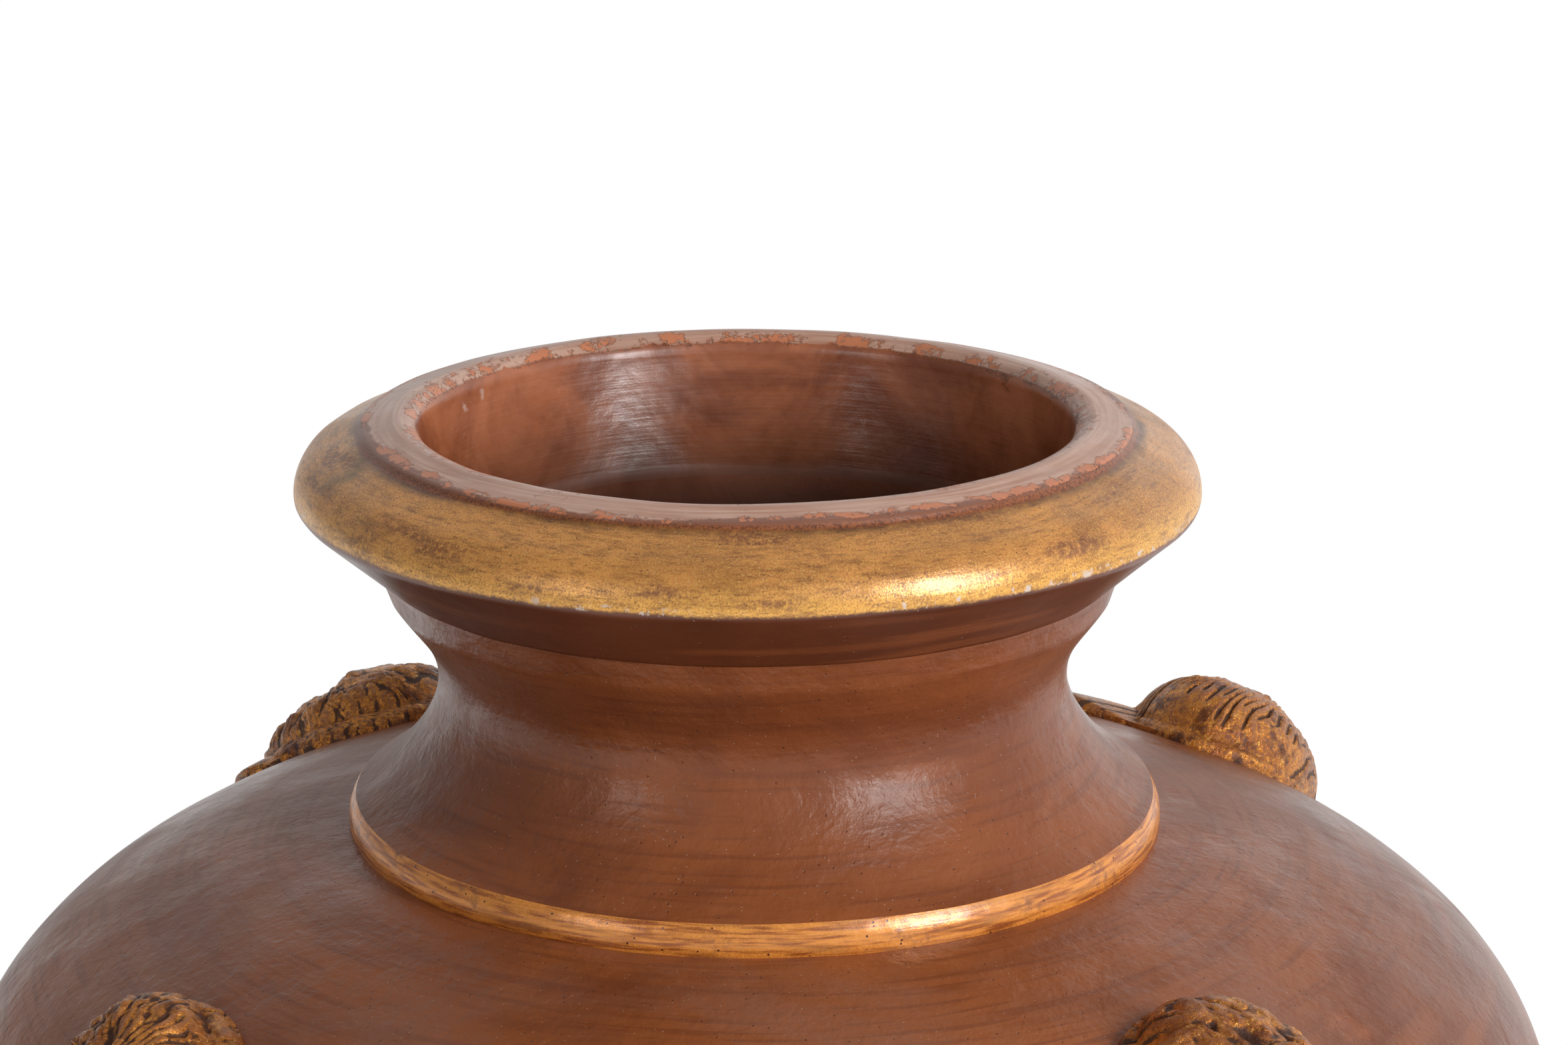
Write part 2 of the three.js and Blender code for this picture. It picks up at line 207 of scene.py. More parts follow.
def towards(start, degrees, distance):
    """The point at a distance from another, at an angle over the horizontal."""
    angle = math.radians(degrees)
    return start[0] + distance * math.cos(angle), start[1] + distance * math.sin(angle)


def arc(centre, radius, first, last, steps):
    """Points of a round stretch, from one angle to another."""
    return [towards(centre, first + (last - first) * step / steps, radius) for step in range(steps + 1)]


def sweep(start, start_handle, end_handle, end, steps):
    """Points of a curve drawn with two handles."""
    points = []
    for step in range(steps + 1):
        t = step / steps
        weights = ((1 - t) ** 3, 3 * t * (1 - t) ** 2, 3 * t * t * (1 - t), t**3)
        points.append(
            tuple(
                sum(w * p[axis] for w, p in zip(weights, (start, start_handle, end_handle, end)))
                for axis in (0, 1)
            )
        )
    return points


def run_of(points):
    """The length of a run of points."""
    return sum(math.dist(first, second) for first, second in zip(points, points[1:]))


def inside_of(points, wall):
    """The same run of points moved inwards by a wall's thickness."""
    moved = []
    for index, (radius, height) in enumerate(points):
        before = points[max(index - 1, 0)]
        after = points[min(index + 1, len(points) - 1)]
        run = Vector((after[0] - before[0], after[1] - before[1])).normalized()
        moved.append((radius - run.y * wall, height + run.x * wall))
    return moved


def straight(start, end, steps):
    """Points along a straight stretch, without its first one."""
    return [
        (start[0] + (end[0] - start[0]) * step / steps, start[1] + (end[1] - start[1]) * step / steps)
        for step in range(1, steps + 1)
    ]


# Making a turned section


def hand_wobble(place, sizes):
    """Where a true point of the vase really lies: the neck leans, and nothing is quite round."""
    x, y, z = place
    reach = math.hypot(x, y)
    up = min(max((z - NECK_FOOT) / (MOUTH - NECK_FOOT), 0.0), 1.0)
    around = math.atan2(x, -y)
    oval = 0.55 * math.cos(2 * around + 0.6)
    lobes = 0.4 * math.cos(3 * around + 9.0 * z)
    waver = sizes.unevenness * (oval + lobes + 0.25 * math.cos(5 * around + 2.0))
    dents = sizes.unevenness * 0.8 * noise.noise(Vector((x, y, z)) * 14.0)
    stretch = 1.0 + (waver + dents) / max(reach, 0.05)
    fine = sizes.unevenness * 0.5 * noise.noise(Vector((x + 3.0, y, z)) * 42.0)
    return x * stretch - sizes.lean * up, y * stretch, z + fine * min(z / 0.05, 1.0)


def spin_outline(name, outline, turns):
    """Spins an outline round the vase's axis into a closed skin that faces out."""
    bpy.ops.object.select_all(action="DESELECT")
    mesh = bpy.data.meshes.new(name)
    edges = [(index, index + 1) for index in range(len(outline) - 1)]
    mesh.from_pydata([(radius, 0.0, height) for radius, height in outline], edges, [])
    piece = bpy.data.objects.new(name, mesh)
    bpy.context.scene.collection.objects.link(piece)
    bpy.context.view_layer.objects.active = piece
    piece.select_set(True)
    bpy.ops.object.mode_set(mode="EDIT")
    bpy.ops.mesh.select_all(action="SELECT")
    bpy.ops.mesh.spin(steps=turns, angle=2 * math.pi, center=(0, 0, 0), axis=(0, 0, 1))
    bpy.ops.mesh.select_all(action="SELECT")
    bpy.ops.mesh.remove_doubles(threshold=1e-5)
    bpy.ops.mesh.normals_make_consistent(inside=False)
    bpy.ops.object.mode_set(mode="OBJECT")
    return piece


def soften_edges(piece, width):
    """Rounds the sharp edges of a piece, as wet clay is wiped, but none that is luted to the next."""
    shape = bmesh.new()
    shape.from_mesh(piece.data)
    sharp = []
    for edge in shape.edges:
        first, second = (corner.co.z for corner in edge.verts)
        luted = min(abs(first - joint) for joint in JOINTS) < 0.1 * MM
        if abs(first - second) < 0.01 * MM and not luted and edge.calc_face_angle(0.0) > SHARP_EDGE:
            sharp.append(edge)
    bmesh.ops.bevel(shape, geom=sharp, offset=width, segments=3, profile=0.5, affect="EDGES")
    shape.to_mesh(piece.data)
    shape.free()


def finish_piece(piece, node, finish, angle=50):
    """Sets the shading, paint and place of a piece that stands for a CAD node."""
    bpy.ops.object.select_all(action="DESELECT")
    piece.select_set(True)
    bpy.context.view_layer.objects.active = piece
    bpy.ops.object.shade_smooth_by_angle(angle=math.radians(angle))
    piece.data.materials.clear()
    piece.data.materials.append(finish)
    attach(piece, "root")
    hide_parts(node)


def make_turned(node, outline, sizes, finish):
    """Models one turned section from its outline and puts it in its node's place."""
    piece = spin_outline(node + "_thrown", outline, sizes.turns)
    soften_edges(piece, EDGE_WIDTHS[node])
    for corner in piece.data.vertices:
        corner.co = hand_wobble(corner.co, sizes)
    finish_piece(piece, node, finish)


def body_outline(sizes):
    """The outside of the body, from its foot up to the belly."""
    foot = (sizes.foot_radius, BODY_FOOT)
    return sweep(
        foot, towards(foot, 90 - FOOT_LEAN, FOOT_FULLNESS),
        (BELLY_REACH, BELLY - BELLY_FULLNESS), (BELLY_REACH, BELLY), steps=72,
    )


def shoulder_outline():
    """The outside of the shoulder, from the belly up to the fillet."""
    fillet = (FILLET_FOOT_REACH, FILLET_FOOT)
    return sweep(
        (BELLY_REACH, BELLY), (BELLY_REACH, BELLY + SHOULDER_FULLNESS),
        towards(fillet, -SHOULDER_FALL, SHOULDER_START), fillet, steps=72,
    )


def foot_ring_outline(sizes):
    """A ring that splays a little to the floor."""
    outer, inner = sizes.foot_radius, sizes.foot_radius - sizes.foot_wall
    worn = FOOT_BOTTOM + FOOT_WEAR
    return [
        (inner, worn), (inner + FOOT_WEAR, FOOT_BOTTOM), (FOOT_REACH - FOOT_WEAR, FOOT_BOTTOM),
        (FOOT_REACH, worn), (outer + FOOT_SPLAY, BODY_FOOT * SPLAY_HEIGHT), (outer, BODY_FOOT),
        (inner, BODY_FOOT), (inner, worn),
    ]


def lower_body_outline(sizes):
    """From the middle of the underside, up the outside to the belly, and down inside to the floor."""
    outside = body_outline(sizes)
    floor_top = BODY_FOOT + sizes.floor
    inner = inside_of(outside, sizes.body_wall)[::-1]
    inside = [point for point in inner if point[1] > floor_top + HEEL_RISE]
    heel = inside[-1]
    flat = (heel[0] - HEEL_RUN, floor_top)
    rounded = sweep(heel, (heel[0] - 0.02, floor_top + 0.008), (heel[0] - 0.05, floor_top), flat, steps=10)
    return [(0.0, BODY_FOOT), *outside, *inside, *rounded[1:], (0.0, floor_top)]


def opening_radius(sizes):
    """The radius of the hole that the neck stands over."""
    return sizes.waist_radius - sizes.neck_wall + HOLE_MARGIN


def shoulder_section_outline(sizes):
    """Over the shoulder from the belly, down through the hole, and back along the underside."""
    outside = shoulder_outline()
    hole = opening_radius(sizes)
    inner = inside_of(outside, sizes.body_wall)[::-1]
    under = [point for point in inner if point[0] > hole + HOLE_LAND]
    top = straight(outside[-1], (hole, FILLET_FOOT), steps=6)
    edge = arc((hole + HOLE_ROUNDING, FILLET_FOOT - HOLE_LAND), HOLE_ROUNDING, 180, 270, steps=6)
    inner_belly = (BELLY_REACH - sizes.body_wall, BELLY)
    return [*outside, *top, *edge, *under[:-1], inner_belly, outside[0]]


def neck_fillet_outline(sizes):
    """A band at the foot of the neck, a little rounded."""
    hole = opening_radius(sizes)
    foot, top = (FILLET_FOOT_REACH, FILLET_FOOT), (NECK_FOOT_REACH, NECK_FOOT)
    third = run_of((foot, top)) / 3
    slope = math.degrees(math.atan2(top[1] - foot[1], top[0] - foot[0]))
    band = sweep(
        foot, towards(foot, slope - FILLET_SWELL, third),
        towards(top, slope + 180 + FILLET_SWELL, third), top, steps=12,
    )
    return [*band, (hole, NECK_FOOT), (hole, FILLET_FOOT), foot]


def rim_foot_radius(sizes):
    """The radius at which the neck's collar meets the rim."""
    return sizes.waist_radius + COLLAR_REACH + COLLAR_TAPER


def neck_outline(sizes):
    """Up the flare, the waist, the cove and the collar, and down inside."""
    waist = (sizes.waist_radius, NECK_FOOT + sizes.waist_height)
    foot = (NECK_FOOT_REACH, NECK_FOOT)
    collar = (sizes.waist_radius + COLLAR_REACH, RIM_FOOT - COLLAR_HEIGHT)
    rim_foot = (rim_foot_radius(sizes), RIM_FOOT)
    bore = (rim_foot[0] - RIM_WALL, RIM_FOOT)
    throat = sizes.waist_radius - sizes.neck_wall
    below_waist, over_waist = waist[1] - WAIST_FULLNESS, waist[1] + WAIST_FULLNESS
    flare = sweep(
        foot, towards(foot, 180 - FLARE_ANGLE, FLARE_FULLNESS), (waist[0], below_waist), waist, steps=32,
    )
    cove = sweep(
        waist, (waist[0], over_waist), towards(collar, 180 + COVE_ANGLE, COVE_FULLNESS), collar, steps=22,
    )
    hole = (opening_radius(sizes), NECK_FOOT)
    inside = sweep(bore, (throat, over_waist), (throat, waist[1]), hole, steps=30)
    return [*flare, *cove[1:], *straight(collar, rim_foot, steps=6), *inside, foot]


def rim_outline(sizes):
    """The underside, the roll, the step and lip on it, and down inside the mouth."""
    middle = RIM_FOOT + sizes.roll_middle
    tuck = arc((RIM_REACH - TUCK_RADIUS, middle), TUCK_RADIUS, -TUCK_TURN, 0, steps=6)
    crown = arc((RIM_REACH - sizes.roll_radius, middle), sizes.roll_radius, 0, CROWN_TURN, steps=14)
    step_foot = (RIM_REACH - sizes.step_inset, MOUTH - STEP_DROP)
    lip = (step_foot[0] - STEP_BATTER, MOUTH - LIP_FALL)
    mouth = lip[0] - sizes.lip_width
    rounding = sizes.lip_rounding
    rounded = arc((mouth + rounding, MOUTH - rounding), rounding, LIP_TURN, 180, steps=12)
    foot = (rim_foot_radius(sizes), RIM_FOOT)
    bore = (foot[0] - RIM_WALL, RIM_FOOT)
    return [
        foot, *straight(foot, tuck[0], steps=14), *tuck[1:], *crown[1:],
        *straight(crown[-1], step_foot, steps=6), *straight(step_foot, lip, steps=4),
        *straight(lip, rounded[0], steps=12), *rounded[1:], *straight(rounded[-1], bore, steps=20), foot,
    ]


# The lion masks


SHOULDER_RUN = run_of(shoulder_outline())


def eased(value, low, high):
    """How far a value has come from one bound to another, easing in and out."""
    t = np.clip((value - low) / (high - low), 0.0, 1.0)
    return t * t * (3.0 - 2.0 * t)


# The face, as soft swells: side, down, half width, half length and rise, in millimetres
FACE_SWELLS = {
    "furrow": (0, -25, 3, 9, -3),
    "brow": (11, -15, 8, 4, 5.5),
    "socket": (12, -5, 6, 4.2, -7),
    "eye": (12, -5, 3.6, 2.6, 5),
    "pupil": (12, -5, 1.2, 1.2, -1.2),
    "bridge": (0, -6, 5, 12, 5),
    "nose": (0, 10, 8, 4.2, 7),
    "nostril": (4, 12.5, 1.8, 1.5, -3),
    "muzzle": (8, 18, 7, 6, 7),
    "philtrum": (0, 19, 1.3, 5, -3.5),
    "mouth": (0, 27, 9, 3, -8),
    "jowl": (13, 25, 4, 4, -4),
    "chin": (0, 33, 7.5, 4.5, 6),
    "cheek": (21, 5, 6, 9, 3.5),
    "ear": (24, -25, 5, 5.5, 6),
    "ear hollow": (24, -24, 2.4, 3, -3),
}


def face_rise(across, down):
    """Rise of the face over the head at places in metres."""
    rise = np.zeros_like(across)
    for side, below, wide, tall, height in FACE_SWELLS.values():
        for middle in {-side, side}:
            x = (across / MM - middle) / wide
            y = (down / MM - below) / tall
            rise += height * MM * np.exp(-x * x - y * y)
    return rise


# How a mask sits and how it was finished by hand, where its own entry below doesn't say otherwise
USUAL_MASK = {
    "size": 1.0,
    "breadth": 1.0,  # of the whole mask, for its size
    "spread": 1.0,  # of the head over the mane
    "high": 1.0,  # how high the head is
    "long": 1.0,  # how long the head is
    "forward": 3 * MM,  # how far the head sits towards the crown
    "crown_weight": 0.25,  # how much fuller the head is at the crown
    "face": 1.0,  # how deep the face is
    "crown_locks": 0.55,  # how deep the locks stay at the crown
    "fade": 4.0,  # how soon the crown gives way to the locks of the cheeks
    "combed": 0.0,  # how straight the cuts run beside each other
    "cut_depth": 1.0 * MM,
    "curls": 0.0,  # how high the curls at the crown are
    "trails": (),  # locks over the shoulder: degrees from the crown, how far, half width in radians
}

# Each mask: azimuth and lean of its crown to the left in degrees, how far down the shoulder's run its
# middle is, how far its locks fall into two tiers at the crown, how they waver and slant, how many
# cuts a tool drew in them, and how lumpy and wrinkled it was left
MASKS = {
    "lion_mask_front_left": {
        **USUAL_MASK, "azimuth": -50, "lean": 27, "drop": 0.69, "seed": 1.0,
        "tiers": 0.4, "waver": 0.16, "slant": 1.1, "cuts": 60, "lumps": 0.9 * MM,
    },
    "lion_mask_front_right": {
        **USUAL_MASK, "azimuth": 40, "lean": 5, "drop": 0.603, "seed": 4.0,
        "tiers": 0.3, "waver": 0.12, "slant": 0.6, "cuts": 34, "lumps": 1.6 * MM, "curls": 3.4 * MM,
    },
    "lion_mask_back_right": {
        **USUAL_MASK, "azimuth": 132.6, "lean": 24, "drop": 0.568, "seed": 7.0,
        "size": 0.98, "breadth": 0.88, "spread": 1.38, "high": 1.2, "long": 1.06, "face": 0.4,
        "forward": -2 * MM, "crown_weight": 0.6, "crown_locks": 0.03, "tiers": 0.0, "fade": 0.8,
        "waver": 0.05, "slant": -0.5, "cuts": 84, "combed": 1.0, "cut_depth": 2.6 * MM,
        "lumps": 0.1 * MM, "trails": ((46, 38 * MM, 0.30), (-95, 17 * MM, 0.28)),
    },
    "lion_mask_back_left": {
        **USUAL_MASK, "azimuth": 221, "lean": 11, "drop": 0.505, "seed": 11.0,
        "size": 0.90, "breadth": 1.07, "spread": 1.16, "high": 1.02, "long": 0.94, "face": 0.55,
        "forward": -1 * MM, "crown_weight": 0.6, "crown_locks": 0.40, "tiers": 0.1, "fade": 1.6,
        "waver": 0.22, "slant": 2.2, "cuts": 26, "cut_depth": 0.9 * MM,
        "lumps": 0.7 * MM, "trails": ((98, 15 * MM, 0.34),),
    },
}

MANE_EDGE = 2 * MM
HEAD_SQUARENESS = 2.6
HEAD_EASING = 0.6
LOCK_REACH = 0.07
LOCK_SWEEP = 0.5
TRAIL_RELIEF = 7.5 * MM
MASK_EMBED = 3 * MM
STRANDS = 5
STEP_BETWEEN_TIERS = 1.5 * MM
CURL_PITCH = 0.19
CURL_SOFTENING = 0.7
COIL_DEPTH = 0.16
WRINKLE_SHARPNESS = 7
CUT_WIDTH = 0.19

# How far the irregularities of the hand's work lie apart on a mask's disc
ROUGH_PITCH = 0.22
FINE_PITCH = 0.07
LUMP_PITCH = 0.11
WRINKLE_PITCH = 0.15

# How deep the wax counts a place: the share on a level one, and what a metre of hollow adds, within
# a few grid steps and within more of them
LEVEL_SHARE = 0.40
FINE_REACH = 3
FINE_WEIGHT = 1100.0
BROAD_REACH = 9
BROAD_WEIGHT = 120.0


def hand_noise(across, down, pitch, seed):
    """Smooth irregularity of a hand's work, -1 to 1, with features about a pitch across."""
    return np.array([noise.noise(Vector((x / pitch, y / pitch, seed))) for x, y in zip(across, down)])


def dome(across, down, mask, sizes):
    """Rise of the mane, and of the head on it."""
    reached = np.minimum(np.hypot(across / sizes.half_width, down / sizes.half_length), 1.0)
    mane = sizes.mane_relief * np.sqrt(1.0 - reached**5)
    sideways = across / (sizes.head_half_width * mask["spread"])
    along = (down + mask["forward"]) / (sizes.head_half_length * mask["long"])
    reach = np.minimum(np.hypot(sideways, along), 1.0)
    fullness = 1.0 - mask["crown_weight"] * down / sizes.half_length
    head = sizes.head_relief * mask["high"] * (1.0 - reach**HEAD_SQUARENESS) ** HEAD_EASING
    return MANE_EDGE + mane + head * fullness


def lock_row(turn, along, mask, depth, strand):
    """Rise of a row of locks: rounded ridges with sharp creases, combed into wavering strands."""
    index = np.floor(turn)
    within = turn - index - 0.5
    body = np.sqrt(np.clip(1.0 - (1.85 * within) ** 2, 0.0, 1.0))
    waver = mask["waver"] * np.sin(9.0 * along + 2.4 * index + mask["seed"])
    comb = np.abs(np.sin(math.pi * STRANDS * (within + waver * along)))
    return depth * (body - 0.5) + strand * (comb - 0.5) * (0.4 + body)


def shuffled(index, seed):
    """A number from 0 to 1 for each whole number, in no order."""
    wave = np.sin(index * 12.9898 + seed * 7.13) * 43758.5453
    return wave - np.floor(wave)


def tooled_cuts(start, u, reached, rough, mask):
    """Thin cuts drawn with a tool down the mane, each with its own beginning and end: 0 to 1."""
    aside = start + mask["combed"] * (u - start)
    turn = mask["cuts"] * (aside + mask["slant"] * 0.35 * reached) / (2 * math.pi) + 0.9 * rough
    index = np.floor(turn)
    line = np.exp(-(((turn - index - 0.5) / CUT_WIDTH) ** 2))
    first = 0.24 + 0.26 * shuffled(index, mask["seed"])
    last = 0.72 + 0.22 * shuffled(index, mask["seed"] + 1.0)
    span = eased(reached, first, first + 0.05) * (1.0 - eased(reached, last, last + 0.07))
    return line * span * (0.55 + 0.45 * shuffled(index, mask["seed"] + 2.0))


def curled(u, v, seed):
    """Rounded lumps of curled hair with a coil on each: 0 in the creases, 1 on top."""
    nearest = [noise.voronoi(Vector((x / CURL_PITCH, y / CURL_PITCH, seed)))[0][0] for x, y in zip(u, v)]
    nearest = np.array(nearest)
    lump = np.sqrt(np.clip(1.0 - (1.2 * nearest) ** 2, 0.0, 1.0))
    return lump - COIL_DEPTH * np.abs(np.sin(9.0 * nearest))


def mask_surface(mask, sizes, u, v):
    """Places and rise of a mask over its disc, and the rise of its tooling alone, in metres."""
    reached = np.hypot(u, v)
    start = np.arctan2(u * sizes.half_width, v * sizes.half_length)
    crown = np.cos(start / 2) ** mask["fade"]
    rough = hand_noise(u, v, ROUGH_PITCH, mask["seed"])
    fine = hand_noise(u, v, FINE_PITCH, mask["seed"] + 20)
    lumps = hand_noise(u, v, LUMP_PITCH, mask["seed"] + 40)
    creases = np.abs(hand_noise(u, v, WRINKLE_PITCH, mask["seed"] + 60))
    wrinkles = (1.0 - creases) ** WRINKLE_SHARPNESS
    calm = 1.0 - crown * (1.0 - mask["crown_locks"])
    depth = sizes.lock_depth * calm * (1.0 + 0.5 * rough)
    strand = sizes.strand_depth * (1.0 + 0.9 * fine) * np.sqrt(calm)
    swept = np.clip((reached - sizes.face_share) / (1.0 - sizes.face_share), 0.0, 1.0)

    turn = sizes.locks * (start + mask["slant"] * 0.3 * swept) / (2 * math.pi) + 0.30 * rough
    inner_ridge = np.abs(np.cos(math.pi * turn)) - 0.5
    outer_ridge = np.abs(np.sin(math.pi * turn)) - 0.5
    tiered = 1.0 - crown * (1.0 - mask["tiers"])
    outer = tiered * eased(reached, sizes.tier_share - 0.01, sizes.tier_share + 0.02)
    to_tier = eased(reached, sizes.face_share - 0.04, sizes.tier_share)
    past_tier = eased(reached, sizes.tier_share, 1.0)
    tip = (inner_ridge * to_tier * (1.0 - past_tier) + outer_ridge * past_tier) * calm

    root = eased(reached, sizes.face_share - 0.08, sizes.face_share + 0.05)
    inner_locks = STEP_BETWEEN_TIERS * calm * tiered + lock_row(turn + 0.5, reached, mask, depth, strand)
    outer_locks = lock_row(turn + 0.5 * (1.0 - calm), reached, mask, depth, strand)
    locks = root * (inner_locks * (1.0 - outer) + outer_locks * outer) + 0.35 * MM * fine
    locks = locks + mask["lumps"] * (lumps - wrinkles) * eased(reached, 0.30, 0.50)
    locks = locks - mask["cut_depth"] * tooled_cuts(start, u, reached, rough, mask) * crown
    if mask["curls"] > 0.0:
        curly = crown * eased(reached, 0.22, 0.34) * (1.0 - eased(reached, 0.74, 0.86))
        locks = locks * (1.0 - CURL_SOFTENING * curly) + mask["curls"] * curly * curled(u, v, mask["seed"])

    angle = start + LOCK_SWEEP * np.sin(start) * swept
    ellipse = np.hypot(np.sin(angle) / sizes.half_width, np.cos(angle) / sizes.half_length)
    reach = (reached + LOCK_REACH * tip) / ellipse
    trailing = np.zeros_like(start)
    for way, distance, width in mask["trails"]:
        turned = (start - math.radians(way)) / width
        lock = np.exp(-turned * turned)
        along = eased(reached, sizes.tier_share, 1.0)
        reach = reach + distance * lock * along
        trailing = np.maximum(trailing, TRAIL_RELIEF * lock * (1.0 - eased(reached, 0.95, 1.0)))
    across = reach * np.sin(angle)
    down = -reach * np.cos(angle)
    off_face = eased(reached, sizes.face_share - 0.12, sizes.face_share + 0.02)
    face = mask["face"] * face_rise(across, down) * (1.0 - off_face)
    rise = dome(across, down, mask, sizes) + locks + face
    return across * mask["breadth"], down, np.maximum(rise, trailing), locks + face


def on_body(fallen, azimuth, across, height, sizes):
    """Places over the body: how far down from the fillet, how far to the side and how high."""
    outline = np.array([*body_outline(sizes), *shoulder_outline()[1:]][::-1])
    down_outline = np.concatenate(([0.0], np.cumsum(np.hypot(*np.diff(outline, axis=0).T))))
    radius = np.interp(fallen, down_outline, outline[:, 0])
    level = np.interp(fallen, down_outline, outline[:, 1])
    widening = np.interp(fallen, down_outline, np.gradient(outline[:, 0], down_outline))
    falling = np.interp(fallen, down_outline, -np.gradient(outline[:, 1], down_outline))
    angle = azimuth + across / radius
    out = radius + falling * height
    return np.stack((out * np.sin(angle), -out * np.cos(angle), level + widening * height), axis=1)


def blurred(grid, reach):
    """A grid of heights smoothed over a number of its steps."""
    width = 2 * reach + 1
    for _ in range(2):
        for axis in (0, 1):
            padding = [(reach + 1, reach) if index == axis else (0, 0) for index in (0, 1)]
            summed = np.cumsum(np.pad(grid, padding, mode="edge"), axis=axis)
            length_along = grid.shape[axis]
            high = np.take(summed, range(width, width + length_along), axis=axis)
            low = np.take(summed, range(0, length_along), axis=axis)
            grid = (high - low) / width
    return grid


def make_mask(node, mask, sizes, vase, finish):
    """Models a lion mask as a disc of clay pressed over the shoulder, with its face and mane."""
    bpy.ops.object.select_all(action="DESELECT")
    bpy.ops.mesh.primitive_grid_add(x_subdivisions=sizes.steps, y_subdivisions=sizes.steps, size=2)
    piece = bpy.context.active_object
    piece.name = node + "_modelled"
    top = len(piece.data.vertices)
    bpy.ops.object.mode_set(mode="EDIT")
    bpy.ops.mesh.select_all(action="DESELECT")
    bpy.ops.mesh.select_mode(type="EDGE")
    bpy.ops.mesh.select_non_manifold()
    bpy.ops.mesh.extrude_region_move(TRANSFORM_OT_translate={"value": (0, 0, -1)})
    bpy.ops.mesh.edge_face_add()
    bpy.ops.object.mode_set(mode="OBJECT")

    corners = np.array([corner.co for corner in piece.data.vertices])
    x, y = corners[:, 0], corners[:, 1]
    u = x * np.sqrt(1.0 - y * y / 2)
    v = y * np.sqrt(1.0 - x * x / 2)
    across, down, rise, tooling = mask_surface(mask, sizes, u, v)
    below = corners[:, 2] < -0.5
    side = sizes.steps + 1
    order = np.lexsort((x[:top], np.round(y[:top], 6)))
    heights = tooling[:top][order].reshape(side, side)
    fine = blurred(heights, FINE_REACH) - heights
    broad = blurred(heights, BROAD_REACH) - heights
    hollow = np.ones(len(corners))
    depth = LEVEL_SHARE + fine * FINE_WEIGHT + broad * BROAD_WEIGHT
    hollow[order] = np.clip(depth, 0.0, 1.0).ravel()

    lean = math.radians(mask["lean"])
    sideways = (across * math.cos(lean) + down * math.sin(lean)) * mask["size"]
    fallen = mask["drop"] * SHOULDER_RUN + (down * math.cos(lean) - across * math.sin(lean)) * mask["size"]
    height = np.where(below, -MASK_EMBED, rise * mask["size"])
    places = on_body(fallen, math.radians(mask["azimuth"]), sideways, height, vase)
    for corner, place in zip(piece.data.vertices, places):
        corner.co = hand_wobble(place, vase)
    attribute = piece.data.attributes.new("hollow", "FLOAT", "POINT")
    attribute.data.foreach_set("value", hollow)

    bpy.ops.object.mode_set(mode="EDIT")
    bpy.ops.mesh.select_all(action="SELECT")
    bpy.ops.mesh.normals_make_consistent(inside=False)
    bpy.ops.object.mode_set(mode="OBJECT")
    finish_piece(piece, node, finish, angle=75)


# Paints and clay


def linear(gamma_colour):
    """A screen colour as the light it stands for."""
    light = [c / 12.92 if c <= 0.04045 else ((c + 0.055) / 1.055) ** 2.4 for c in gamma_colour]
    return (*light, 1.0)


def paints_of(paints, *names):
    """Some of the panel's colours as the light they stand for."""
    return (linear(getattr(paints, name)) for name in names)


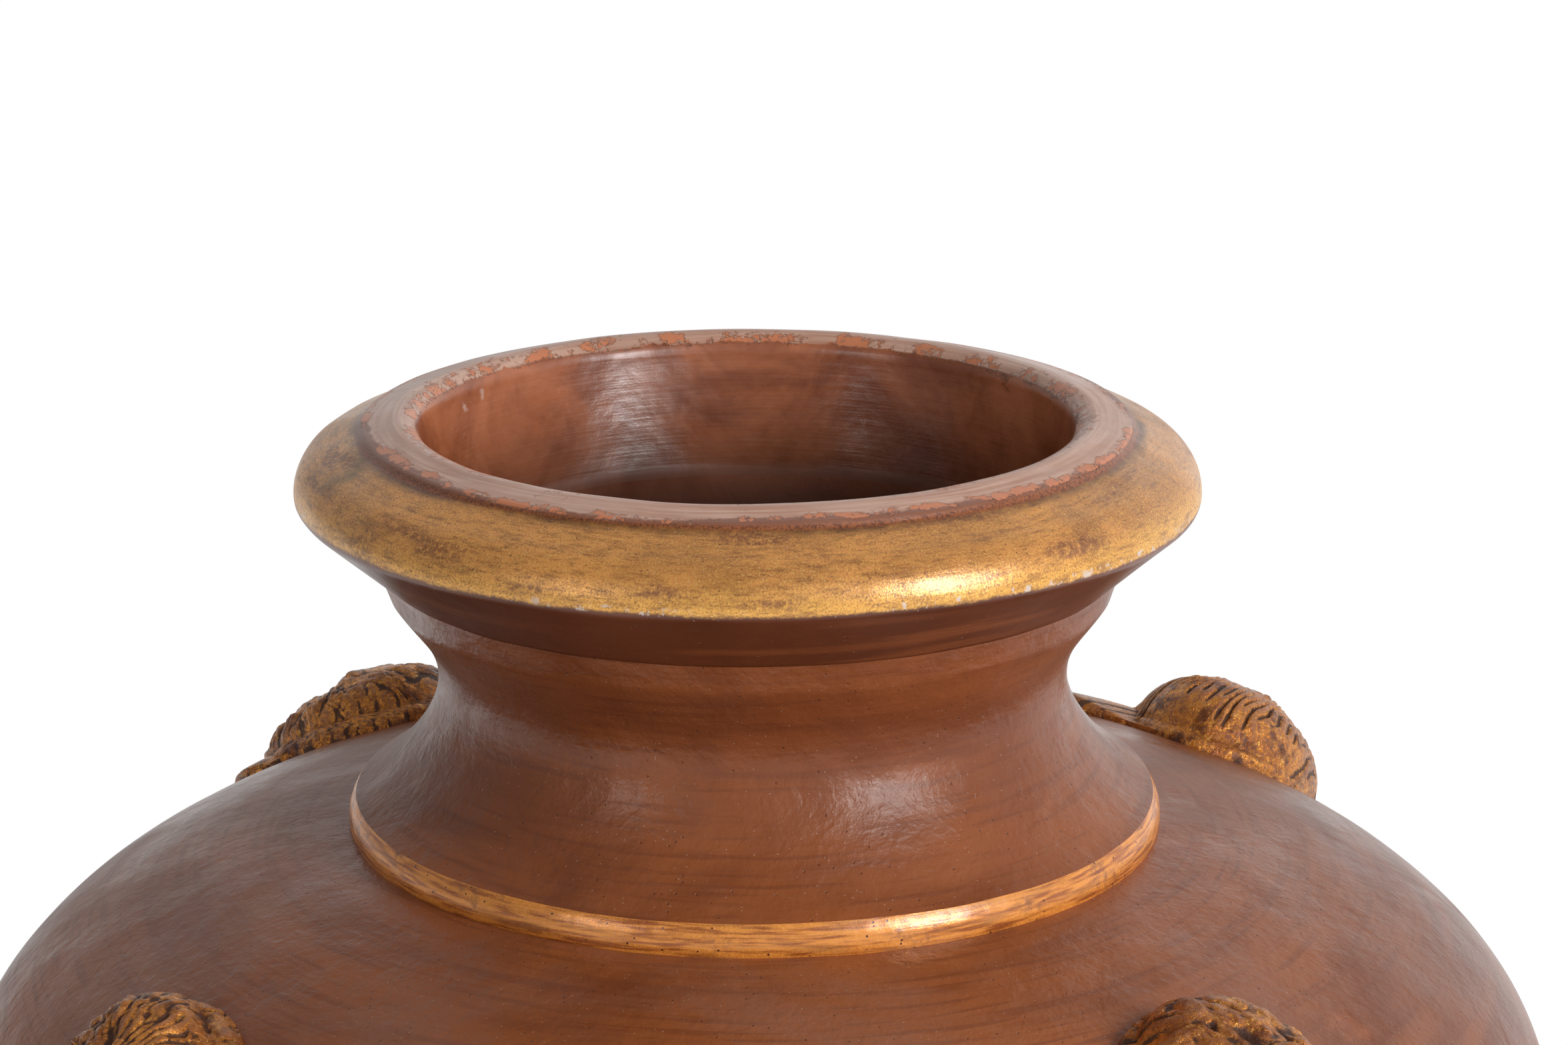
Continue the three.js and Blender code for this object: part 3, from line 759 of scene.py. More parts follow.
class Finish:
    """A procedural material, put together node by node."""

    def __init__(self, name):
        self.material = bpy.data.materials.new(name)
        self.material.use_nodes = True
        self.nodes = self.material.node_tree.nodes
        self.nodes.clear()
        self.shader = self.nodes.new("ShaderNodeBsdfPrincipled")
        output = self.nodes.new("ShaderNodeOutputMaterial")
        self.join(output.inputs["Surface"], self.shader.outputs["BSDF"])
        self.place = self.nodes.new("ShaderNodeTexCoord").outputs["Object"]

    def join(self, socket, value):
        """Feeds a socket from another node or sets it."""
        if isinstance(value, bpy.types.NodeSocket):
            self.material.node_tree.links.new(value, socket)
        else:
            socket.default_value = value

    def give(self, name, value):
        """Feeds or sets a socket of the shader."""
        self.join(self.shader.inputs[name], value)

    def maths(self, operation, first, second=0.0, third=0.0):
        """One step of arithmetic."""
        node = self.nodes.new("ShaderNodeMath")
        node.operation = operation
        for socket, value in zip(node.inputs, (first, second, third)):
            self.join(socket, value)
        return node.outputs[0]

    def product(self, first, *others):
        """One value times any others."""
        for other in others:
            first = self.maths("MULTIPLY", first, other)
        return first

    def inverse(self, part):
        """What a part leaves of the whole."""
        return self.maths("SUBTRACT", 1.0, part)

    def between(self, value, low, high, first=0.0, last=1.0):
        """A value eased from one range into another."""
        node = self.nodes.new("ShaderNodeMapRange")
        node.interpolation_type = "SMOOTHSTEP"
        names = ("Value", "From Min", "From Max", "To Min", "To Max")
        for name, given in zip(names, (value, low, high, first, last)):
            self.join(node.inputs[name], given)
        return node.outputs[0]

    def stretched(self, scale, move):
        """The piece's own coordinates, moved and then stretched."""
        node = self.nodes.new("ShaderNodeMapping")
        node.vector_type = "POINT"
        self.join(node.inputs["Vector"], self.place)
        node.inputs["Location"].default_value = move
        node.inputs["Scale"].default_value = scale
        return node.outputs[0]

    def drip(self, azimuth, height, half_width, half_length, solid=0.9):
        """1 inside an upright oval on the inner wall of the mouth, 0 outside it, fading from a share out."""
        angle = math.radians(azimuth)
        spot = Vector((DRIP_RADIUS * math.sin(angle), -DRIP_RADIUS * math.cos(angle), height))
        stretch = (1 / half_width, 1 / half_width, 1 / half_length)
        ragged = self.mottle(260.0, 4.0, 0.6)
        oval = self.nodes.new("ShaderNodeVectorMath")
        oval.operation = "LENGTH"
        move = [-place * scale for place, scale in zip(spot, stretch)]
        self.join(oval.inputs[0], self.stretched(stretch, move))
        distance = self.maths("ADD", oval.outputs["Value"], self.maths("MULTIPLY_ADD", ragged, 1.6, -0.8))
        return self.between(distance, solid, 1.15, 1.0, 0.0)

    def mottle(self, scale, detail, roughness=0.55, move=None, stretch=(1, 1, 1), distortion=0.0):
        """Soft irregular noise from 0 to 1."""
        node = self.nodes.new("ShaderNodeTexNoise")
        self.join(node.inputs["Vector"], self.stretched(stretch, move) if move else self.place)
        node.inputs["Scale"].default_value = scale
        node.inputs["Detail"].default_value = detail
        node.inputs["Roughness"].default_value = roughness
        node.inputs["Distortion"].default_value = distortion
        return node.outputs["Fac"]

    def radius(self, lean=0.0):
        """Distance from the vase's axis, for a section whose middle lies to the left."""
        parts = self.nodes.new("ShaderNodeSeparateXYZ")
        self.join(parts.inputs[0], self.place)
        x = self.maths("ADD", parts.outputs["X"], lean)
        squares = self.maths("MULTIPLY_ADD", x, x, self.product(parts.outputs["Y"], parts.outputs["Y"]))
        return self.maths("SQRT", squares)

    def height(self):
        """Height over the floor."""
        parts = self.nodes.new("ShaderNodeSeparateXYZ")
        self.join(parts.inputs[0], self.place)
        return parts.outputs["Z"]

    def strokes(self, along, across, detail, lean=0.0, turn=0.0):
        """Brush strokes that run round the vase: slow along it and quick across."""
        node = self.nodes.new("ShaderNodeTexNoise")
        node.noise_dimensions = "4D"
        self.join(node.inputs["Vector"], self.stretched((along, along, across), (turn, turn, turn)))
        self.join(node.inputs["W"], self.product(self.radius(lean), across))
        node.inputs["Scale"].default_value = 1.0
        node.inputs["Detail"].default_value = detail
        return node.outputs["Fac"]

    def specks(self, scale, size, kept):
        """Small round specks, 1 inside one, of which a share are kept."""
        node = self.nodes.new("ShaderNodeTexVoronoi")
        self.join(node.inputs["Vector"], self.place)
        node.inputs["Scale"].default_value = scale
        dot = self.between(node.outputs["Distance"], size * 0.5, size, 1.0, 0.0)
        pick = self.nodes.new("ShaderNodeSeparateColor")
        self.join(pick.inputs[0], node.outputs["Color"])
        return self.product(dot, self.maths("LESS_THAN", pick.outputs[0], kept))

    def layer(self, under, over, *shares):
        """A colour with another laid over it, as thickly as the product of the shares."""
        node = self.nodes.new("ShaderNodeMix")
        node.data_type = "RGBA"
        first_colour, second_colour = [socket for socket in node.inputs if socket.type == "RGBA"]
        self.join(node.inputs["Factor"], self.product(*shares))
        self.join(first_colour, under)
        self.join(second_colour, over)
        return next(socket for socket in node.outputs if socket.type == "RGBA")

    def relief(self, height, depth, below=None):
        """Bump of a given depth in metres."""
        node = self.nodes.new("ShaderNodeBump")
        node.inputs["Distance"].default_value = depth
        self.join(node.inputs["Height"], height)
        if below is not None:
            self.join(node.inputs["Normal"], below)
        return node.outputs["Normal"]


# Drips and flakes of pale slip inside the mouth: azimuth and height, half width and half length
DRIPS = (
    (-121, 0.691, 0.0024, 0.0030), (-115, 0.688, 0.0030, 0.0022), (-121, 0.679, 0.0011, 0.0042),
    (-115, 0.676, 0.0013, 0.0016), (-123.5, 0.667, 0.0013, 0.0020), (-170, 0.687, 0.0012, 0.0034),
)
DRIP_RADIUS = 0.119
# A pale patch on the inner wall, partly a scuff and partly a painted highlight where the lamp's light falls:
# azimuth and height, half width and half length
SCUFF_AND_HIGHLIGHT = (-160, 0.677, 0.019, 0.018)

# The neck's outside lies beyond this radius and its inside within it
THROAT_SPLIT = 0.110
THROAT_LEAN = 0.0018

# The studio floor, and where it fades from its shadow to white, from the vase's axis
FLOOR_WIDTH = 12.0
FLOOR_GREY = (0.84, 0.84, 0.84, 1.0)
FLOOR_FADE_FROM = 0.45
FLOOR_FADE_TO = 0.95
WHITE = (1.0, 1.0, 1.0, 1.0)

# The soft lamps: where they hang, in degrees and metres round the neck's foot, and their sizes
KEY_LAMP = {"azimuth": 48, "elevation": 22, "distance": 2.0, "width": 0.4, "tall": 0.8}
FILL_LAMP = {"azimuth": -42, "elevation": 20, "distance": 2.2, "width": 0.36, "tall": 0.7}

# The camera of the photo
CAMERA_PLACE = (0.0101, -1.550, 1.0976)
CAMERA_TILT = 74.2
SENSOR_WIDTH = 36.0
FOCAL_LENGTH = 104.36

# Colours that the panel doesn't list
DUST = linear((0.86, 0.78, 0.72))
BURNT_BROWN = linear((0.34, 0.16, 0.08))
RED_BROWN = linear((0.40, 0.18, 0.10))
LIP_BAND = linear((0.52, 0.30, 0.20))
LIP_SHEEN = linear((0.90, 0.75, 0.67))
LIP_MAUVE = linear((0.75, 0.58, 0.50))
LIP_BROWN = linear((0.70, 0.47, 0.36))
GREEN_GREY = linear((0.40, 0.34, 0.19))
# Painted shade deep inside the mouth and throat
PAINTED_SHADE_INSIDE = linear((0.22, 0.10, 0.05))
DARK_CLAY = linear((0.50, 0.25, 0.13))
FLAKE_WHITE = linear((0.78, 0.62, 0.56))
PINK_UNDERCOAT = linear((0.56, 0.36, 0.27))
MASK_GLINT = linear((1.0, 0.74, 0.38))
DARK_RED = linear((0.36, 0.16, 0.09))
# Painted reflection on the lower part of the gilded roll
PAINTED_REFLECTION_LEAF = linear((1.0, 0.75, 0.34))
LEAF_SPARKLE = linear((1.0, 0.84, 0.50))
LEAF_SHADE = linear((0.45, 0.25, 0.11))
OCHRE = linear((0.62, 0.41, 0.27))
CHIP_CLAY = linear((0.82, 0.50, 0.34))
FILLET_SHADE = linear((0.66, 0.35, 0.13))
FILLET_GOLD = linear((0.95, 0.61, 0.25))

# The roll's leaf is brighter below this height, a painted reflection, with an edge that fades and wanders
PAINTED_REFLECTION_LEAF_TOP = RIM_FOOT + 38 * MM
LEAF_FADE = 6 * MM
LEAF_WANDER = 12 * MM

# The rim's painted edges: how far they wander, and the widths of the lip's band and chipped edges
EDGE_WANDER = 8 * MM
LIP_BAND_WIDTH = 3.8 * MM
OUTER_CHIPS = 4.5 * MM
INNER_CHIPS = 7 * MM

# How far below the mouth the bare clay turns dark with painted shade, and where its flakes end
PAINTED_SHADE_BELOW = 75 * MM
PAINTED_SHADE_ABOVE = 4 * MM
FLAKES_BELOW = 36 * MM
FLAKES_ABOVE = 24 * MM

# How far over its foot the rim's bare inside stays matt
MATT_RUN = 6 * MM


def bare_clay(paint, clay):
    """Raw terracotta inside the mouth: blotched, flaked near the lip, and darker further down with painted
    shade.
    """
    blotch = paint.mottle(24.0, 6.0, 0.62, distortion=0.4)
    raw = paint.layer(DARK_CLAY, clay, paint.between(blotch, 0.32, 0.70))
    smudge = paint.mottle(13.0, 5.0, 0.6, move=(5, 3, 1), stretch=(1, 1, 3.0))
    raw = paint.layer(raw, RED_BROWN, paint.between(smudge, 0.52, 0.72, 0.0, 0.55))
    # Painted shade: the clay is made darker deeper down the mouth
    painted_shade_deep = paint.between(paint.height(), MOUTH - PAINTED_SHADE_BELOW, MOUTH - PAINTED_SHADE_ABOVE, 1.0, 0.0)
    raw = paint.layer(raw, PAINTED_SHADE_INSIDE, painted_shade_deep)
    flake = paint.mottle(55.0, 7.0, 0.7, move=(2, 6, 4), stretch=(1, 1, 0.35))
    near_lip = paint.between(paint.height(), MOUTH - FLAKES_BELOW, MOUTH - FLAKES_ABOVE)
    flaked = paint.product(paint.between(flake, 0.66, 0.70), near_lip)
    return paint.layer(raw, FLAKE_WHITE, flaked, 0.8)


def painted_clay(name, paints, bloom_share, shade, inside=False):
    """Brown paint brushed round the clay, with a mauve bloom, pebbled pores and specks of dust."""
    paint = Finish(name)
    brown, deep, mauve, clay = paints_of(paints, "brown", "deep_brown", "mauve", "clay")
    cloud = paint.mottle(6.5, 5.0, 0.6, distortion=0.6)
    broad_strokes = paint.strokes(7.0, 75.0, 5.0)
    fine_strokes = paint.strokes(22.0, 380.0, 4.0)
    pebbles = paint.mottle(520.0, 3.0, 0.6)
    grain = paint.mottle(1300.0, 2.0, 0.6)

    body = paint.layer(brown, deep, paint.between(cloud, 0.30, 0.66, shade, 0.0))
    body = paint.layer(body, deep, paint.between(cloud, 0.30, 0.66, 1.0, 0.0))
    body = paint.layer(body, brown, paint.between(broad_strokes, 0.50, 0.70, 0.0, 0.5))
    body = paint.layer(body, deep, paint.between(broad_strokes, 0.30, 0.46, 0.5, 0.0))
    body = paint.layer(body, deep, paint.between(fine_strokes, 0.50, 0.66, 0.0, 0.5))
    bloom = paint.mottle(7.0, 6.0, 0.65, move=(3, 1, 0), stretch=(1, 1, 2.2), distortion=1.2)
    bloomed = paint.between(bloom, 0.44, 0.70, 0.0, bloom_share)
    bloomed = paint.product(bloomed, paint.between(pebbles, 0.3, 0.6, 0.65, 1.0))
    body = paint.layer(body, mauve, bloomed)
    rubbed = paint.mottle(19.0, 8.0, 0.7, move=(7, 2, 5), stretch=(1, 1, 1.6))
    body = paint.layer(body, clay, paint.between(rubbed, 0.58, 0.76, 0.0, 0.35))
    ochre = paint.strokes(14.0, 140.0, 6.0, turn=4.0)
    body = paint.layer(body, OCHRE, paint.between(ochre, 0.66, 0.78, 0.0, 0.25))
    pores = paint.specks(420.0, 0.24, 0.12)
    body = paint.layer(body, BURNT_BROWN, pores, 0.6)
    body = paint.layer(body, deep, paint.between(pebbles, 0.56, 0.72, 0.0, 0.22))
    dust = paint.specks(760.0, 0.17, 0.10)
    body = paint.layer(body, DUST, dust, 0.55)
    satin = paint.between(paint.mottle(16.0, 5.0, 0.65, distortion=0.8), 0.36, 0.64, 0.22, 0.36)
    satin = paint.maths("MULTIPLY_ADD", bloomed, 0.15, satin)
    satin = paint.maths("MULTIPLY_ADD", fine_strokes, 0.06, satin)
    if inside:
        outside = paint.between(paint.radius(THROAT_LEAN), THROAT_SPLIT - 0.0010, THROAT_SPLIT)
        body = paint.layer(bare_clay(paint, clay), body, outside)
        matt = paint.inverse(outside)
        satin = paint.maths("MULTIPLY_ADD", matt, 0.6, satin)

    paint.give("Base Color", body)
    paint.give("Roughness", satin)
    paint.give("IOR", 1.46)
    uneven = paint.relief(paint.mottle(38.0, 3.0, 0.5), 0.0014)
    leathery = paint.relief(paint.mottle(210.0, 3.0, 0.5, distortion=0.5), 0.00035, uneven)
    brushed = paint.relief(fine_strokes, 0.00012, leathery)
    pebbled = paint.relief(paint.maths("SUBTRACT", pebbles, pores), 0.00016, brushed)
    paint.give("Normal", paint.relief(grain, 0.00004, pebbled))
    return paint.material


def gold_leaf(paint, gold, dull, lean):
    """Old gold leaf with rubbed patches and dark smudges: its colour, where it is whole, its sparkle."""
    streaks = paint.strokes(120.0, 520.0, 5.0, lean)
    sparkle = paint.mottle(1500.0, 3.0, 0.7)
    cloud = paint.mottle(13.0, 6.0, 0.6, distortion=0.6)
    gilt = paint.layer(dull, gold, paint.between(cloud, 0.30, 0.62, 0.0, 0.85))
    # Painted reflection: the leaf is made brighter over the roll's lower part
    lower = paint.maths("MULTIPLY_ADD", cloud, LEAF_WANDER, paint.height())
    lower = paint.between(lower, PAINTED_REFLECTION_LEAF_TOP - LEAF_FADE, PAINTED_REFLECTION_LEAF_TOP + LEAF_FADE, 0.7, 0.0)
    gilt = paint.layer(gilt, PAINTED_REFLECTION_LEAF, lower)
    fine_streaks = paint.strokes(260.0, 1300.0, 3.0, lean, 5.0)
    gilt = paint.layer(gilt, dull, paint.between(streaks, 0.46, 0.60, 0.0, 0.45))
    gilt = paint.layer(gilt, BURNT_BROWN, paint.between(streaks, 0.58, 0.72, 0.0, 0.40))
    gilt = paint.layer(gilt, BURNT_BROWN, paint.between(fine_streaks, 0.54, 0.68, 0.0, 0.40))
    gilt = paint.layer(gilt, LEAF_SHADE, paint.between(sparkle, 0.50, 0.62, 0.0, 0.55))
    gilt = paint.layer(gilt, LEAF_SPARKLE, paint.between(sparkle, 0.34, 0.44, 0.6, 0.0))
    long_wear = paint.strokes(24.0, 95.0, 9.0, lean, 2.0)
    gritty = paint.between(paint.mottle(420.0, 4.0, 0.7), 0.36, 0.56)
    worn = paint.product(paint.between(long_wear, 0.54, 0.66), gritty)
    gilt = paint.layer(gilt, RED_BROWN, worn, 0.7)
    smudge = paint.mottle(17.0, 5.0, 0.6, move=(9, 4, 2), stretch=(1, 1, 1.7))
    smudge = paint.between(smudge, 0.60, 0.74)
    gilt = paint.layer(gilt, GREEN_GREY, smudge, 0.6)
    pitted = paint.specks(560.0, 0.28, 0.14)
    gilt = paint.layer(gilt, BURNT_BROWN, pitted, 0.6)
    bright = paint.inverse(paint.maths("MAXIMUM", worn, smudge))
    return gilt, bright, sparkle


def rim_paint(name, paints, sizes):
    """The rim: brown below, gold round the roll, a brushed mauve lip with flaked edges, raw inside."""
    paint = Finish(name)
    brown, deep, clay = paints_of(paints, "brown", "deep_brown", "clay")
    gold, dull, patina = paints_of(paints, "gold", "dull_gold", "patina")
    radius = paint.radius(sizes.lean)
    height = paint.height()
    ragged = paint.mottle(75.0, 8.0, 0.75)
    wander = paint.maths("MULTIPLY_ADD", ragged, EDGE_WANDER, -EDGE_WANDER / 2)
    fine_strokes = paint.strokes(30.0, 700.0, 4.0, sizes.lean)
    broad_strokes = paint.strokes(9.0, 120.0, 5.0, sizes.lean, 1.0)
    grain = paint.mottle(1100.0, 3.0, 0.6)

    under = paint.layer(BURNT_BROWN, deep, paint.between(paint.mottle(9.0, 5.0), 0.35, 0.65))
    under = paint.layer(under, brown, paint.between(broad_strokes, 0.50, 0.70, 0.0, 0.55))
    under = paint.layer(under, BURNT_BROWN, paint.between(fine_strokes, 0.5, 0.75, 0.0, 0.35))
    gilt, bright, sparkle = gold_leaf(paint, gold, dull, sizes.lean)

    cloud = paint.mottle(15.0, 6.0, 0.65, distortion=0.5)
    lip = paint.layer(LIP_BROWN, LIP_MAUVE, paint.between(cloud, 0.3, 0.7))
    lip = paint.layer(lip, LIP_SHEEN, paint.between(fine_strokes, 0.38, 0.74, 0.15, 0.7))
    lip = paint.layer(lip, deep, paint.between(broad_strokes, 0.56, 0.72, 0.0, 0.30))
    step = RIM_REACH - sizes.step_inset
    mouth = step - sizes.lip_width - STEP_BATTER
    outer_edge = paint.maths("SUBTRACT", step - STEP_BATTER, radius)
    band = paint.between(paint.mottle(7.0, 2.0, 0.5, move=(2, 2, 7)), 0.35, 0.65, 0.0, LIP_BAND_WIDTH)
    outer_edge = paint.maths("SUBTRACT", outer_edge, band)
    banded = paint.between(paint.maths("ADD", outer_edge, wander), -0.0008, 0.0008, 0.85, 0.0)
    lip = paint.layer(lip, LIP_BAND, banded)
    inner_edge = paint.maths("SUBTRACT", radius, mouth + sizes.lip_rounding * 0.5)
    by_outer = paint.between(paint.maths("ABSOLUTE", outer_edge), 0.5 * MM, OUTER_CHIPS, 0.105, -0.05)
    by_inner = paint.between(inner_edge, 0.0, INNER_CHIPS, 0.080, -0.05)
    chips = paint.mottle(85.0, 10.0, 0.78, move=(1, 8, 3))
    chipped = paint.maths("ADD", chips, paint.maths("MAXIMUM", by_outer, by_inner))
    on_lip = paint.between(height, MOUTH - 0.0040, MOUTH - 0.0031)
    on_lip = paint.product(on_lip, paint.between(radius, mouth, mouth + 0.002))
    flaked = paint.product(paint.between(chipped, 0.585, 0.600), on_lip)
    lip = paint.layer(lip, CHIP_CLAY, flaked)
    stained = paint.between(paint.maths("ADD", chips, -0.10), 0.585, 0.60)
    lip = paint.layer(lip, deep, stained, 0.7)

    gold_from = RIM_FOOT + sizes.roll_middle
    gold_height = paint.maths("ADD", height, paint.product(wander, 0.6))
    whole = paint.layer(under, gilt, paint.between(gold_height, gold_from - 0.0012, gold_from + 0.0002))
    by_edge = paint.between(height, gold_from - 0.0012, gold_from - 0.0002)
    by_edge = paint.product(by_edge, paint.between(height, gold_from + 0.0012, gold_from + 0.0024, 1.0, 0.0))
    here = paint.between(paint.mottle(8.0, 2.0, 0.5, move=(5, 9, 2)), 0.52, 0.60)
    flecks = paint.product(paint.between(paint.mottle(230.0, 4.0, 0.7), 0.55, 0.60), by_edge)
    whole = paint.layer(whole, DUST, flecks, here)
    in_groove = paint.between(radius, step - 0.0006, step + 0.0050, 1.0, 0.0)
    in_groove = paint.product(in_groove, paint.between(height, MOUTH - 0.020, MOUTH - 0.012))
    grubby = paint.between(paint.mottle(20.0, 6.0, 0.7), 0.36, 0.60, 0.35, 1.0)
    whole = paint.layer(whole, patina, in_groove, grubby)
    step_side = paint.layer(brown, BURNT_BROWN, paint.between(grain, 0.44, 0.60, 0.0, 0.8))
    glint = paint.between(paint.mottle(34.0, 6.0, 0.7, move=(4, 4, 4)), 0.56, 0.64)
    step_low = paint.between(height, MOUTH - 0.0082, MOUTH - 0.0070, 1.0, 0.0)
    step_side = paint.layer(step_side, gold, glint, step_low)
    on_step = paint.between(radius, step - 0.0004, step + 0.0012, 1.0, 0.0)
    on_step = paint.product(on_step, paint.between(height, MOUTH - 0.0120, MOUTH - 0.0105))
    whole = paint.layer(whole, step_side, on_step)
    whole = paint.layer(whole, lip, on_lip)
    raw_edge = paint.maths("ADD", radius, wander)
    within = paint.between(raw_edge, mouth + 0.0010, mouth + 0.0016, 1.0, 0.0)
    whole = paint.layer(whole, bare_clay(paint, clay), within)
    for place in DRIPS:
        whole = paint.layer(whole, FLAKE_WHITE, paint.drip(*place), 0.85)
    # Pale patch inside the mouth: partly a scuff, partly a painted highlight
    scuff_and_highlight = paint.product(paint.drip(*SCUFF_AND_HIGHLIGHT, solid=-0.6), within)
    whole = paint.layer(whole, FLAKE_WHITE, scuff_and_highlight, 0.45)
    dust = paint.specks(640.0, 0.17, 0.06)
    whole = paint.layer(whole, DUST, dust, paint.between(within, 0.0, 1.0, 0.6, 0.1))

    paint.give("Base Color", whole)
    over_edge = paint.between(height, gold_from - 0.001, gold_from + 0.001)
    off_step = paint.between(radius, step - 0.001, step + 0.001)
    on_roll = paint.product(over_edge, paint.inverse(on_lip), off_step)
    gilded = paint.product(on_roll, bright)
    glitter = paint.between(sparkle, 0.40, 0.62, 0.38, 0.02)
    paint.give("Metallic", paint.product(gilded, glitter))
    paint.give("Specular IOR Level", 0.75)
    satin = paint.between(paint.mottle(16.0, 6.0, 0.6), 0.3, 0.7, 0.28, 0.42)
    satin = paint.maths("MULTIPLY_ADD", gilded, -0.05, satin)
    drier = paint.between(height, RIM_FOOT, RIM_FOOT + MATT_RUN, 0.5, -0.04)
    paint.give("Roughness", paint.maths("MULTIPLY_ADD", within, drier, satin))
    bumps = paint.relief(paint.mottle(45.0, 3.0, 0.5), 0.0008)
    brushed = paint.relief(fine_strokes, 0.00010, bumps)
    leafed = paint.relief(paint.product(gilded, sparkle), 0.00005, brushed)
    chipped_edge = paint.relief(paint.inverse(flaked), 0.0004, leafed)
    paint.give("Normal", paint.relief(grain, 0.00004, chipped_edge))
    return paint.material


def fillet_paint(name, paints):
    """Gold leaf streaked over red-brown paint."""
    paint = Finish(name)
    dull, deep = paints_of(paints, "dull_gold", "deep_brown")
    streaks = paint.strokes(70.0, 900.0, 5.0)
    broad = paint.strokes(30.0, 260.0, 4.0, turn=3.0)
    sparkle = paint.mottle(1300.0, 3.0, 0.7)
    gilt = paint.layer(FILLET_SHADE, FILLET_GOLD, paint.between(streaks, 0.34, 0.60))
    gilt = paint.layer(gilt, dull, paint.between(broad, 0.52, 0.70, 0.0, 0.5))
    gritty = paint.between(paint.mottle(300.0, 5.0, 0.7), 0.40, 0.58)
    worn = paint.product(paint.between(paint.mottle(34.0, 7.0, 0.7), 0.52, 0.64, 0.0, 0.8), gritty)
    gilt = paint.layer(gilt, deep, worn)
    gilt = paint.layer(gilt, BURNT_BROWN, paint.specks(430.0, 0.25, 0.15))
    paint.give("Base Color", gilt)
    bright = paint.inverse(worn)
    glitter = paint.between(sparkle, 0.40, 0.62, 0.36, 0.02)
    paint.give("Metallic", paint.product(bright, glitter))
    paint.give("Specular IOR Level", 1.0)
    paint.give("Roughness", paint.between(broad, 0.3, 0.7, 0.21, 0.34))
    uneven = paint.relief(paint.mottle(50.0, 3.0, 0.5), 0.0010)
    streaked = paint.relief(streaks, 0.00010, uneven)
    paint.give("Normal", paint.relief(sparkle, 0.00005, streaked))
    return paint.material


def mask_paint(name, paints):
    """Antique gold, with brown wax left in the hollows and the undercoat showing on the ridges."""
    paint = Finish(name)
    gold, dull, patina = paints_of(paints, "mask_gold", "mask_dull", "patina")
    hollow = paint.nodes.new("ShaderNodeAttribute")
    hollow.attribute_name = "hollow"
    depth = hollow.outputs["Fac"]
    cloud = paint.mottle(38.0, 6.0, 0.65, distortion=0.5)
    grain = paint.mottle(900.0, 4.0, 0.7)
    rubbed = paint.mottle(330.0, 5.0, 0.75, distortion=0.4)
    patches = paint.mottle(85.0, 7.0, 0.7, move=(6, 1, 2))
    broken = paint.maths("MULTIPLY_ADD", paint.maths("SUBTRACT", patches, 0.5), 1.3, depth)
    broken = paint.maths("MULTIPLY_ADD", paint.maths("SUBTRACT", rubbed, 0.5), 0.9, broken)

    gilt = paint.layer(dull, gold, paint.between(cloud, 0.34, 0.62))
    gilt = paint.layer(gilt, RED_BROWN, paint.between(grain, 0.46, 0.60, 0.0, 0.60))
    gilt = paint.layer(gilt, RED_BROWN, paint.between(rubbed, 0.50, 0.62, 0.0, 0.60))
    gilt = paint.layer(gilt, MASK_GLINT, paint.between(rubbed, 0.34, 0.46, 0.75, 0.0))
    gilt = paint.layer(gilt, DARK_RED, paint.between(patches, 0.50, 0.64, 0.0, 0.80))
    ridge = paint.between(broken, -0.16, 0.22, 0.6, 0.0)
    gilt = paint.layer(gilt, PINK_UNDERCOAT, ridge)
    waxed = paint.between(broken, 0.48, 0.92, 0.0, 0.92)
    gilt = paint.layer(gilt, patina, waxed)
    paint.give("Base Color", gilt)
    bare = paint.inverse(paint.maths("MAXIMUM", ridge, waxed))
    glitter = paint.between(paint.maths("MAXIMUM", grain, rubbed), 0.48, 0.60, 0.85, 0.05)
    paint.give("Metallic", paint.product(bare, glitter))
    satin = paint.between(cloud, 0.3, 0.7, 0.16, 0.30)
    paint.give("Roughness", paint.maths("MULTIPLY_ADD", waxed, 0.3, satin))
    paint.give("Specular IOR Level", 0.5)
    uneven = paint.relief(paint.mottle(160.0, 4.0, 0.5), 0.0013)
    crusted = paint.relief(rubbed, 0.0008, uneven)
    paint.give("Normal", paint.relief(grain, 0.00026, crusted))
    return paint.material


# Operators, one for each piece or group of like pieces


class VASE_OT_body(bpy.types.Operator):
    """Turns the foot ring, the lower body and the shoulder"""

    bl_idname = "vase.body"
    bl_label = "Body sections"
    bl_options = {"REGISTER", "UNDO"}

    def execute(self, context):
        sizes, paints = context.scene.vase_sizes, context.scene.vase_paints
        paint = painted_clay("brushed brown paint", paints, 0.42, 0.46)
        make_turned("foot_ring", foot_ring_outline(sizes), sizes, paint)
        make_turned("lower_body", lower_body_outline(sizes), sizes, paint)
        make_turned("shoulder", shoulder_section_outline(sizes), sizes, paint)
        return {"FINISHED"}


class VASE_OT_neck(bpy.types.Operator):
    """Turns the neck and the gilded fillet at its foot"""

    bl_idname = "vase.neck"
    bl_label = "Neck and fillet"
    bl_options = {"REGISTER", "UNDO"}

    def execute(self, context):
        sizes, paints = context.scene.vase_sizes, context.scene.vase_paints
        fillet = fillet_paint("streaked gold", paints)
        make_turned("neck_fillet", neck_fillet_outline(sizes), sizes, fillet)
        paint = painted_clay("neck paint", paints, 0.14, 0.0, inside=True)
        make_turned("neck", neck_outline(sizes), sizes, paint)
        return {"FINISHED"}


class VASE_OT_rim(bpy.types.Operator):
    """Turns the rim with its gilded roll, step and lip"""

    bl_idname = "vase.rim"
    bl_label = "Rim"
    bl_options = {"REGISTER", "UNDO"}

    def execute(self, context):
        sizes, paints = context.scene.vase_sizes, context.scene.vase_paints
        paint = rim_paint("rim paint and gold", paints, sizes)
        make_turned("rim", rim_outline(sizes), sizes, paint)
        return {"FINISHED"}


